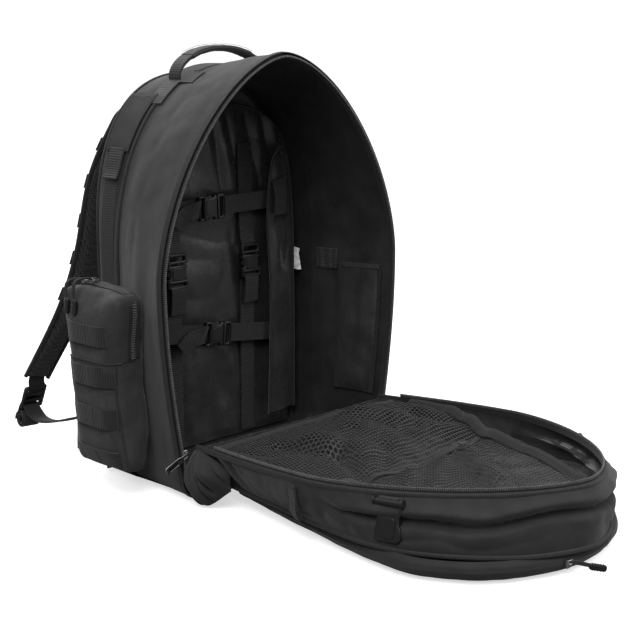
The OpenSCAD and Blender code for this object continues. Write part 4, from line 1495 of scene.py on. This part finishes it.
def build_hinge():
    """Folded fabric between the body's front lip and the lid, and the lid's own foot wall."""
    x = np.linspace(-157, 157, 120)
    profile = curve([(0, RIM_Y - 3, 36), (0, RIM_Y - 7, 47), (0, RIM_Y - 11, 56), (0, LID_Y - 1, 64),
                     (0, LID_Y - 4, 66)], 18)
    grid = np.repeat(profile[:, None], len(x), 1)
    grid[..., 0] = x
    gather = folds(grid * [1, 0.2, 0.2], 11, 71) * 2.2 + noise(grid, 26, 72) * 1.2
    middle = np.sin(math.pi * np.linspace(0, 1, len(profile)))[:, None]
    grid[..., 2] += gather * middle
    build_bunches()
    weight = lambda p: ease((p[:, 2] - 40) / 22)
    # The hinge fabric, the lid's foot wall and the floor panel take the darker shell cloth: painted shade
    # in the fold and on the floor.
    make("hinge_fabric", [sheet(grid, 1.4)], SHELL_SHADED, ("root", "lid"), (), weight)
    low = curve([(0, LID_Y - 3, 65), (0, LID_Y - 5, 50), (0, LID_Y - 8, 34), (0, LID_Y - 12, 26)], 16)
    half = np.linspace(158, 134, len(low))
    wall = np.stack([np.stack([np.linspace(-h, h, 90), np.full(90, p[1]), np.full(90, p[2])], 1) for h,
                     p in zip(half, low)])
    wall[..., 1] += (folds(wall * [1, 0.2, 0.4], 14, 73) - 0.4) * 3
    make("lid_foot_wall", [sheet(wall, 1.4)], SHELL_SHADED, "lid")
    bottom = arch_floor()
    make("body_floor_panel", [sheet(bottom, 1.6)], SHELL_SHADED, "root", ("bottom_panel",))
    lip_x = np.linspace(-158, 158, 80)
    lip = np.stack([np.stack([lip_x, np.full(80, RIM_Y - 2.2), np.full(80, z)], 1) for z in np.linspace(4,
            45, 12)])
    lip[..., 1] += noise(lip, 30, 74) * 0.8
    make("body_front_lip", [sheet(lip, 1.8)], SHELL, "root")


def build_bunches():
    """Fabric bunched at each end of the hinge, one piece a side riding on the root."""
    u = np.linspace(0, 1, 60)[None, :, None]
    v = np.linspace(0, 1, 40)[:, None, None]
    top = curve([(154, -82, 58), (161, -98, 66), (163, -122, 64), (157, -150, 52)], 60)
    foot = curve([(150, -76, 4), (160, -92, 3), (162, -118, 3), (156, -150, 26)], 60)
    grid = top[None] * (1 - v) + foot[None] * v
    flow = np.concatenate([grid[..., 1:2] - grid[..., 2:3] * 0.7, grid[..., 2:3] * 0.22,
                           grid[..., :1] * 0.2], axis=-1)
    depth = np.sin(math.pi * v[..., 0]) ** 0.6 * np.sin(math.pi * u[..., 0]) ** 0.7
    grid[..., 0] += depth * (7 + 22 * folds(flow, 11, 76) + 3 * noise(grid, 12, 77))
    grid[..., 2] = np.maximum(grid[..., 2] + depth * 3 * noise(grid, 20, 78), 2.5)
    part = sheet(grid, 1.4)
    for side, sign in SIDES:
        shape = part if sign > 0 else mirrored(part)
        bunch = make(f"{side}_hinge_bunch", [shape], SHELL, "root")
        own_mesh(bunch)


def arch_floor():
    y = np.linspace(RIM_Y + 1, REAR_Y - 6, 30)
    x = np.linspace(-150, 150, 50)
    grid = np.stack([np.stack([x, np.full(50, v), np.full(50, 3.6)], 1) for v in y])
    grid[..., 2] += noise(grid, 40, 75) * 0.5
    return grid


# ---- pouches ---------------------------------------------------------------------------------


def closed_loft(rows):
    """A closed form lofted through rings of points, capped at both ends."""
    rows = np.array(rows)
    count, size = rows.shape[:2]
    points = rows.reshape(-1, 3)
    faces = grid_faces(count, size, loop=True)
    faces.append(tuple(range(size - 1, -1, -1)))
    faces.append(tuple((count - 1) * size + j for j in range(size)))
    return points, faces, points.copy()


def inflated(part, voxel, cap, pressure=4.0, keep=None):
    """The part as a stuffed fabric form: remeshed evenly, swollen by cloth pressure, then smoothed."""
    source = mesh_object("stuffing", part)
    remesh = source.modifiers.new("even", "REMESH")
    remesh.mode = "VOXEL"
    remesh.voxel_size = voxel * MM
    view = bpy.context.evaluated_depsgraph_get()
    even = bpy.data.meshes.new_from_object(source.evaluated_get(view))
    bpy.data.objects.remove(source)
    form = bpy.data.objects.new("stuffed", even)
    bpy.context.scene.collection.objects.link(form)
    start = np.array([v.co for v in even.vertices], float)
    moved = start
    cloth = form.modifiers.new("cloth", "CLOTH")
    cloth.settings.quality = 5
    cloth.settings.use_pressure = True
    cloth.settings.uniform_pressure_force = pressure
    cloth.settings.effector_weights.gravity = 0
    cloth.settings.tension_stiffness = 12
    cloth.settings.compression_stiffness = 12
    cloth.settings.bending_stiffness = 0.4
    cloth.point_cache.frame_start = 1
    cloth.point_cache.frame_end = 20
    for step in range(1, 21):
        bpy.context.scene.frame_set(step)
    view = bpy.context.evaluated_depsgraph_get()
    swollen = bpy.data.meshes.new_from_object(form.evaluated_get(view))
    moved = np.array([v.co for v in swollen.vertices], float)
    bpy.data.meshes.remove(swollen)
    bpy.context.scene.frame_set(1)
    form.modifiers.clear()
    shift = moved - start
    size = np.linalg.norm(shift, axis=1, keepdims=True)
    shift *= np.minimum(1, cap * MM / np.maximum(size, 1e-9))
    if keep is not None:
        shift *= keep(start / MM)[:, None]
    points = start + shift
    even.vertices.foreach_set("co", points.astype(np.float32).ravel())
    smooth = form.modifiers.new("smooth", "SUBSURF")
    smooth.levels = 1
    smooth.render_levels = 1
    view = bpy.context.evaluated_depsgraph_get()
    done = bpy.data.meshes.new_from_object(form.evaluated_get(view))
    points = np.array([v.co for v in done.vertices], float) / MM
    faces = [tuple(p.vertices) for p in done.polygons]
    bpy.data.objects.remove(form)
    bpy.data.meshes.remove(done)
    return points, faces, points.copy()


def tree_of(part):
    return BVHTree.FromPolygons([Vector(p) for p in part[0]], part[1])


def cast(tree, points, direction, lift):
    """Points moved along direction on to the surface, or to its nearest point, then lifted back."""
    direction = np.asarray(direction, float)
    result = []
    for p in np.asarray(points, float):
        hit = tree.ray_cast(Vector(p - direction * 300), Vector(direction))[0]
        hit = hit or tree.find_nearest(Vector(p))[0]
        result.append(np.array(hit) - direction * lift)
    return np.array(result)


def cut(part, low, high, inside):
    """The part of a closed form inside a box, or the rest of it, with the cut closed."""
    form = mesh_object("form", part)
    low, high = np.asarray(low, float), np.asarray(high, float)
    corner = np.array(list(itertools.product((0, 1), repeat=3)))
    box_points = low + corner * (high - low)
    box_faces = [(0, 1, 3, 2), (4, 6, 7, 5), (0, 4, 5, 1), (2, 3, 7, 6), (0, 2, 6, 4), (1, 5, 7, 3)]
    cutter = mesh_object("cutter", (box_points, box_faces, box_points))
    knife = form.modifiers.new("knife", "BOOLEAN")
    knife.object = cutter
    knife.operation = "INTERSECT" if inside else "DIFFERENCE"
    knife.solver = "EXACT"
    bpy.context.view_layer.update()
    view = bpy.context.evaluated_depsgraph_get()
    made = bpy.data.meshes.new_from_object(form.evaluated_get(view))
    points = np.array([v.co for v in made.vertices], float).reshape(-1, 3) / MM
    faces = [tuple(p.vertices) for p in made.polygons]
    bpy.data.objects.remove(form)
    bpy.data.objects.remove(cutter)
    bpy.data.meshes.remove(made)
    return points, faces, points.copy()


def pouch_box():
    """Box of the right pouch with its flap."""
    low, high = box_mm("right_pouch")
    flap_low, flap_high = box_mm("right_pouch_flap")
    return np.minimum(low, flap_low), np.maximum(high, flap_high)


def pouch_ring(z, shrink):
    """Rounded outline of the pouch at height z on the +X side."""
    low, high = pouch_box()
    share = (z - low[2]) / (high[2] - low[2])
    out_x = high[0] + 8 - 14 * (1 - share) - shrink
    foot = ease((82 - z) / 40) * 7
    inner = 180 + 10 * share + foot
    front = low[1] - 2 + 6 * (1 - share) + shrink
    rear = high[1] + 6 - shrink
    corner = 9.0
    points = rounded(inner + 1.5, front, out_x, rear, corner, 6)
    line = np.column_stack([np.array(points), np.full(len(points), float(z))])
    behind = ease((line[:, 1] - 10) / 45) * ease((out_x - 14 - line[:, 0]) / 20)
    line[:, 0] -= behind * 9
    return line


def build_pouches():
    """Side pouches: stuffed body, zipped outer flap, webbing rows, zip and cord pulls."""
    low, high = pouch_box()
    flap_low = box_mm("right_pouch_flap")[0]
    rings = [pouch_ring(z, s) for z, s in ((low[2] - 5, 12), (low[2] - 3, 7), (low[2] + 6, 3.5))]
    rings += [pouch_ring(z, 4) for z in np.linspace(low[2] + 40, high[2] - 18, 6)]
    rings += [pouch_ring(z, s) for z, s in ((high[2] - 7, 5), (high[2] - 2, 9), (high[2] - 1, 16))]
    stays = lambda p: 0.25 + 0.75 * ease((p[:, 0] - 178) / 22)
    form = inflated(closed_loft(rings), 5.0, 8.0, keep=stays)
    points = form[0]
    away = ease((points[:, 0] - 190) / 12)
    crease = folds(points * [1, 1, 0.7], 34, 81) * 2.0 + noise(points, 15, 82) * 0.6 - 0.8
    centre = np.array([200, 5, 145])
    points = points + unit(points - centre) * (crease * away)[:, None]
    form = (points, form[1], points.copy())
    tree = tree_of(form)
    split_x = flap_low[0] + 1
    far = np.array([400, 300, 400])
    flap = cut(form, (split_x, -300, flap_low[2]), far, True)
    body = cut(form, (split_x - 1.2, -300, flap_low[2] - 1.2), far, False)
    outward = np.array([-1.0, 0, 0])
    rows_body, rows_flap, tacks_body, tacks_flap = [], [], [], []
    web_low, web_high = box_mm("right_pouch_webbing")
    y_low, y_high = web_low[1] + 2, web_high[1] - 2
    for row in range(4):
        z = web_low[2] + 12.5 + row * 50
        line = [(0, y, z) for y in np.linspace(y_low + 1, y_high - 1, 60)]
        path = cast(tree, np.array(line) + [300, 0, 0], outward, 1.0)
        path[:, 0] = np.convolve(np.pad(path[:, 0], 5, mode="reflect", reflect_type="odd"),
                                 np.ones(11) / 11, mode="valid")
        path[:, 0] += 2.2 - 3.4 * (np.linspace(-1, 1, 60) ** 4)
        above = cast(tree, np.array(line[12:48]) + [300, 0, 12], outward, 1.0)
        below = cast(tree, np.array(line[12:48]) + [300, 0, -12], outward, 1.0)
        tilt = unit((above - below).mean(axis=0))
        on_flap = z > flap_low[2]
        strap = webbing(path, tilt, 25, 1.8, rib=0.16)
        (rows_flap if on_flap else rows_body).append(strap)
        for y in np.linspace(y_low + 1, y_high - 1, 3):
            spot = path[np.abs(path[:, 1] - y).argmin()]
            tack = bartack(spot + [1.2, 0, 0], tilt, (1, 0, 0), 23)
            (tacks_flap if on_flap else tacks_body).append(tack)
    zip_body, zip_flap, coil = pouch_zip(tree, split_x, flap_low, high)
    seam_line = [(0, y, flap_low[2] - 1) for y in np.linspace(y_low - 5, y_high + 5, 60)]
    seam = cast(tree, np.array(seam_line) + [300, 0, 0], outward, 0.3)
    piping = []
    for sign_y in (-1, 1):
        edge = []
        for z in np.linspace(low[2] + 10, flap_low[2] - 4, 26):
            ring_line = pouch_ring(z, 0)
            picked = ring_line[:, 1].argmin() if sign_y < 0 else ring_line[:, 1].argmax()
            y = ring_line[picked, 1]
            out_x = ring_line[:, 0].max() - 6
            edge.append(cast(tree, [(out_x, y, z)], (0, -sign_y, 0), 0.2)[0])
        piping.append(tube(edge, 1.5))
    seams = piping + [tube(seam, 1.3)]
    on_sides("{side}_pouch_body", [body], SHELL_POUCH, "{side}_side", ("{side}_pouch",), 50)
    on_sides("{side}_pouch_flap_cloth", [flap], SHELL_POUCH, "{side}_flap", ("{side}_pouch_flap",),
             50)
    on_sides("{side}_pouch_rows", rows_body, RIBBED, "{side}_side", ("{side}_pouch_webbing",))
    on_sides("{side}_pouch_flap_row", rows_flap, RIBBED, "{side}_flap")
    on_sides("{side}_pouch_tacks", tacks_body, THREAD, "{side}_side")
    on_sides("{side}_pouch_flap_tacks", tacks_flap, THREAD, "{side}_flap")
    on_sides("{side}_pouch_seams", seams, BINDING, "{side}_side")
    on_sides("{side}_pouch_zip_band", [zip_body], ZIP_TAPE, "{side}_side")
    on_sides("{side}_pouch_flap_zip_band", [zip_flap], ZIP_TAPE, "{side}_flap")
    on_sides("{side}_pouch_coil", [coil], ZIP_COIL, "{side}_side")
    for end in ("front", "rear"):
        build_pouch_slider(tree, high, f"pouch_slider_{end}")


def build_pouch_slider(tree, high, name):
    """A slider on top of each pouch, with its cord and grip hanging over the edge."""
    middle_y = node_centre(f"right_{name}")[1]
    top = cast(tree, [(high[0] - 20, middle_y, high[2] + 60)], (0, 0, -1), 3.4)[0]
    drop = cast(tree, [(high[0] + 60, middle_y, high[2] - 22)], (-1, 0, 0), 3.2)[0]
    over = np.array([drop[0] - 2, middle_y, top[2] + 1.5])
    cord = curve([top + [2, 0, 2.4], (top + over) / 2 + [0, 0, 4], over, drop + [1, 0, 10]], 40)
    cords = [tube(cord, 1.25), tube(cord + [0, 2.4, 0], 1.25)]
    node = "{side}_" + name
    on_sides(node + "_body", slider_parts(placed(top, (1, 0, 0), (0, 1, 0))), METAL, node, (node,))
    on_sides(node + "_cord", cords, BINDING, node)
    on_sides(node + "_grip", grip_parts(placed(drop, (0.05, 0.02, -1), (0, 1, 0))), ACETAL, node)


def pouch_zip(tree, split_x, flap_low, high):
    """Zip along the flap's edge: up the front face, over the top and a little way down behind."""
    points = []
    front = -80.0
    for z in np.linspace(flap_low[2] + 2, high[2] - 14, 22):
        points.append(cast(tree, [(split_x, front - 60, z)], (0, 1, 0), 0.5)[0])
    for y in np.linspace(-40, 50, 26):
        points.append(cast(tree, [(split_x, y, high[2] + 60)], (0, 0, -1), 0.5)[0])
    for z in np.linspace(high[2] - 16, flap_low[2] + 34, 10):
        points.append(cast(tree, [(split_x, 140, z)], (0, -1, 0), 0.5)[0])
    path = spaced(points, 2.0)
    smooth = np.stack([np.convolve(np.pad(path[:, k], 4, mode="edge"), np.ones(9) / 9,
                                   mode="valid") for k in range(3)], 1)
    side = np.array([1.0, 0, 0])
    up = unit(np.cross(tangents(smooth), side))
    inner = tape(smooth - side * 4.6 + up * -0.3, side, 8.4, 1.1)
    outer = tape(smooth + side * 4.6 + up * -0.3, side, 8.4, 1.1)
    coil = teeth(smooth - up * 0.4, side, 2.9, (6.2, 2.0, 2.6))
    return inner, outer, coil


# ---- sliders, handle and harness -------------------------------------------------------------


def build_main_sliders():
    """Sliders at the bottom ends of the body's zip, each with a big metal pull."""
    place = placed(node_centre("right_main_slider"), (0, 0, 1), (1, 0, 0))
    place[:3, 2] = (0, -1, 0)
    place[:3, 1] = np.cross(place[:3, 2], place[:3, 0])
    node = "{side}_main_slider"
    on_sides(node + "_body", slider_parts(place), METAL, node, (node,))
    pivot = np.array(JOINT["right_main_pull_swing"]["pos_m"]) / MM
    slope = math.radians(24)
    along = np.array([math.cos(slope), 0, -math.sin(slope)])
    across = np.array([math.sin(slope), 0, math.cos(slope)])
    pull = placed(pivot, along, across)
    pull[:3, 2] = np.cross(along, across)
    half = [(-2.5, 2.6), (9, 3.4), (12, 4.6), (32, 4.8), (34.5, 3)]
    outline = [(x, -y) for x, y in half] + half[::-1]
    eye = rounded(0.2, -1.5, 7, 1.5, 1.2)[::-1]
    window = rounded(15, -2.6, 30.5, 2.6, 1.8)[::-1]
    cord = [pivot + along * d + np.array([0, -0.2, 0]) for d in (13, 20, 26, 31)]
    node = "{side}_main_pull"
    on_sides(node + "_plate", [plate([outline, eye, window], 1.9, 0.55, pull)], METAL, node, (node,))
    on_sides(node + "_insert", [tape(cord, across, 5.0, 1.2)], ACETAL, node)


def build_handle():
    """Haul handle: doubled webbing with a wrapped grip, and the stitched anchors on the pack."""
    low, high = box_mm("haul_handle")
    middle_y = (low[1] + high[1]) / 2
    span, foot = high[0] - 3, low[2] + 1
    rise = high[2] - foot - 6
    a = np.linspace(0, math.pi, 60)
    line = np.column_stack([span * np.cos(a), np.full(60, middle_y), foot + rise * np.sin(a) ** 0.95])
    width = 22
    inner = line - np.array([0, 0, 2.2])
    make("haul_handle_webs", [webbing(line, (0, 1, 0), width, 2.2),
                              webbing(inner, (0, 1, 0), width - 1, 1.8)],
         RIBBED, "handle", ("haul_handle",))
    grip = spaced(line[16:45], 2.0)
    wave = 0.5 * noise(grip, 9, 91)
    wrap = sweep(grip + np.outer(wave - 1, (0, 0, 1)), (0, 1, 0), flat_section(width + 2, 6.0, 1.5))
    make("haul_handle_wrap", [wrap], SHELL, "handle")
    rows = [stitches(grip + [0, s * 11, 3.2], (0, 0, 1)) for s in (-1, 1)]
    rows += [stitches(line[2:14] + [0, s * 10, 1.6], (0.6, 0, 0.8)) for s in (-1, 1)]
    make("haul_handle_stitches", rows, THREAD, "handle")
    anchors = []
    for sign in (-1, 1):
        x = np.linspace(46, 104, 26)
        z = arch_top(x, SEAM_H, REAR_WIDE + 8, 272, 2.1)
        path = np.column_stack([sign * x, np.full(26, middle_y), z + 3.6])
        anchors.append(webbing(path, (0, 1, 0), 27, 2.2))
    make("haul_handle_anchors", anchors, RIBBED, "root")
    x = np.linspace(-64, 64, 50)
    z = arch_top(np.abs(x), SEAM_H, REAR_WIDE + 8, 272, 2.1)
    strip = np.column_stack([x, np.full(50, middle_y), z + 3.2])
    make("haul_handle_base", [tape(strip, (0, 1, 0), 36, 1.6)], SHELL, "root")


def arch_top(x, height, wide, wide_z, power):
    return wide_z + (height - wide_z) * (1 - np.clip(x / wide, 0, 1) ** power) ** (1 / power)


def strap_line():
    """Middle line of the right shoulder strap, from its anchor to the ladder lock."""
    y = REAR_Y
    return curve([(85, y - 1, 446), (87, y + 12, 436), (90, y + 65, 362), (95, y + 100, 262),
                  (110, y + 126, 188),
                  (140, y + 173, 88)], 120)


def build_straps():
    """Shoulder straps: padded band with bound edges, webbing down its face, clip and ladder lock."""
    line = strap_line()
    t = np.linspace(0, 1, len(line))
    half = 31 - 11 * ease(t)
    thick = 6.2 - 2.6 * ease((t - 0.7) / 0.3)
    side = np.array([1.0, 0.0, 0.05])
    sections = []
    for h, d in zip(half, thick):
        angles = np.linspace(0, 2 * math.pi, 28, endpoint=False)
        c, s = np.cos(angles), np.sin(angles)
        sections.append(np.column_stack([np.sign(c) * np.abs(c) ** 0.55 * (h + 1.0),
                                         np.sign(s) * np.abs(s) ** 0.8 * (d - 1.2)]))
    solid = sweep(line, side, np.array(sections))
    pad = inflated(solid, 4.0, 3.0)
    along = tangents(line)
    across = unit(side - along * (along @ side)[:, None])
    up = np.cross(along, across)
    face = -1 if up[40][1] < 0 else 1
    up = up * face
    edges = [tape(line + across * (half[:, None] - 0.8) * s, up, 6.0, 4.4, 0.6) for s in (-1, 1)]
    outer = line + up * (thick + 2.2)[:, None]
    web = webbing(outer[4:], across[4:], 25, 2.0)
    loops, tacks = [], []
    for k in (18, 34, 50, 66, 82):
        reach = np.linspace(-half[k] + 2, half[k] - 2, 15)[:, None]
        band = outer[k] + across[k] * reach + up[k] * (2.2 - reach**2 / 260)
        loops.append(tape(band, along[k], 20, 1.6, step=2.0))
        tacks += [bartack(outer[k] + across[k] * s * (half[k] - 5) + up[k] * 1.2, along[k], up[k],
                          18) for s in (-1, 1)]
    rows = [stitches(line + across * (half - 5)[:, None] * s + up * (thick * 0.78 + 1.2)[:, None],
                     up) for s in (-1, 1)]
    body = "{side}_strap"
    on_sides(body + "_padding", [pad], FOAM, body, ("{side}_strap_pad",))
    on_sides(body + "_edges", edges, BINDING, body)
    on_sides(body + "_webbing", [web] + loops, RIBBED, body)
    on_sides(body + "_stitches", tacks + rows, THREAD, body)
    build_strap_hardware(line, side)


def build_strap_hardware(line, side):
    """Ladder lock, its webbing with a rolled end, the lower webbing, and the grey clip."""
    node = "{side}_ladder_lock"
    centre = node_centre("right_ladder_lock")
    down = unit(line[-1] - line[-12])
    place = placed(centre, (1, 0, 0), down)
    shape = rounded(-17, -18, 17, 18, 3)
    holes = [rounded(-12.5, -13, 12.5, -8.5, 1)[::-1], rounded(-12.5, -3, 12.5, 2, 1)[::-1],
             rounded(-12.5, 8, 12.5, 12.5, 1)[::-1]]
    lock = [plate([shape] + holes, 5.4, 1.3, place)]
    for y in (-6, 5):
        bar = place.copy()
        bar[:3, 3] += place[:3, 2] * 2.6 + place[:3, 1] * y
        lock.append(plate([rounded(-15, -1.5, 15, 1.5, 1.2)], 3, 1.0, bar))
    on_sides(node + "_moulding", lock, ACETAL, "{side}_strap", (node,))
    neck = curve([line[-8], line[-1], centre - down * 12, centre - down * 2], 24)
    tail_roll = []
    roll_centre = centre + down * 34 + np.array([-4, -6, -2])
    for a in np.linspace(0, 4.4 * math.pi, 60):
        r = 12 - 1.9 * a / math.pi
        tail_roll.append(roll_centre + np.array([0, math.cos(a) * r, math.sin(a) * r]))
    tail = curve([centre - down * 6 + [0, 3, 0], centre + down * 12 + [0, 4, 0],
                  centre + down * 22 + [0, 2, 0]], 20)
    parts = [webbing(neck, side, 25), webbing(np.vstack([tail, tail_roll]), side, 25, 1.8)]
    on_sides("{side}_strap_tail", parts, RIBBED, "{side}_strap")
    low_web = curve([(146, REAR_Y + 1, 76), (146, REAR_Y + 30, 66), (144, REAR_Y + 80, 50),
                     (142, REAR_Y + 134, 34),
                     (141, REAR_Y + 168, 32), tuple(centre + down * 12)], 90)
    start = np.array([146, REAR_Y + 8, 76])
    flat = (centre + down * 14 - start) * [1, 1, 0]

    def share(points):
        shifted = (points * [1 if points[0, 0] > 0 else -1, 1, 1] - start) @ flat / (flat @ flat)
        return ease(shifted)

    lower = webbing(low_web, (1, 0, 0.1), 25)
    for name, sign in SIDES:
        shape = lower if sign > 0 else mirrored(lower)
        bodies = ("root", f"{name}_strap")
        make(f"{name}_lower_webbing", [shape], RIBBED, bodies, ("lower_webs",), share)
    clip_centre = node_centre("right_strap_clip")
    clip_place = placed(clip_centre, (1, 0, 0), (0, -0.29, 0.957))
    ridge = clip_place.copy()
    ridge[:3, 3] += clip_place[:3, 2] * 2.6
    parts = [plate([rounded(-11, -8, 11, 8, 3)], 5.0, 1.4, clip_place),
             plate([rounded(-9, -1.5, 9, 1.5, 1.2)], 3, 1.0, ridge)]
    on_sides("{side}_clip_moulding", parts, CLIP, "{side}_clip", ("{side}_strap_clip",))


def build_back_padding():
    """Back pads: two long ones and a lumbar pad, stuffed, with sewn channels."""
    pads = []
    channels = []
    for centre, dims, z0, z1 in ((66, (46, 46, 330, 398, 2.6), 192, 398),
                                 (0, (116, 116, 120, 163, 2.6), 42, 163)):
        rows = []
        half = arch(*dims[:4], dims[4], 40, low=z0 + 8)
        foot_x = half[-1][0]
        turn = np.linspace(0, math.pi / 2, 6)[1:]
        corner = np.column_stack([foot_x - 8 + 8 * np.cos(turn), z0 + 8 - 8 * np.sin(turn)])
        right = np.vstack([half, corner])
        loop = np.vstack([right, (right * [-1, 1])[::-1][:-1]])
        middle = loop.mean(axis=0)
        for y, shrink in ((REAR_Y + 0.5, 3), (REAR_Y + 3, 1), (REAR_Y + 7, 2), (REAR_Y + 9, 7)):
            inset = middle + (loop - middle) * (1 - shrink / 60)
            rows.append(np.column_stack([inset[:, 0], np.full(len(inset), float(y)), inset[:, 1]]))
        part = inflated(closed_loft(rows), 5.0, 4.0, keep=lambda p: ease((p[:, 1] - REAR_Y - 2) / 4))
        points = part[0]
        for z in np.linspace(z0 + 34, z1 - 30, 5 if centre else 2):
            points[:, 1] -= bump(points[:, 2], z, 3.2) * 3.4 * ease((points[:, 1] - REAR_Y - 4) / 5)
            reach = 38 if centre else 104
            line = [(x, REAR_Y + 9.6, z) for x in np.linspace(-reach, reach, 30)]
            channels.append((centre, line))
        shift = np.array([centre, 0, 0])
        part = (points + shift, part[1], points + shift)
        pads.append(part)
        if centre:
            pads.append(mirrored(part))
    make("back_pads", pads, FOAM, "root", ("back_padding",))
    threads = []
    for centre, line in channels:
        seam = stitches(np.array(line) + [centre, 0, 0], (0, 1, 0))
        threads.append(seam)
        if centre:
            threads.append(mirrored(seam))
    make("back_pad_stitches", threads, THREAD, "root")


def finish_cad_nodes():
    """Materials for CAD parts that stay: the stiffening sheet inside the harness side."""
    sheet_node = frame["nodes"]["frame_sheet"]
    sheet_node.data.materials.clear()
    sheet_node.data.materials.append(SHEET)


build_stage()
threads = []
build_front()
threads += build_rear()
build_back_panel()
threads += build_panel()
build_webs()
build_cross_straps()
build_label()
build_outside(threads)
build_wall_pocket()
build_lid()
build_pouches()
build_main_sliders()
build_handle()
build_straps()
build_back_padding()
finish_cad_nodes()
make("shell_stitching", threads + [mirrored(t) for t in threads], THREAD, "root")
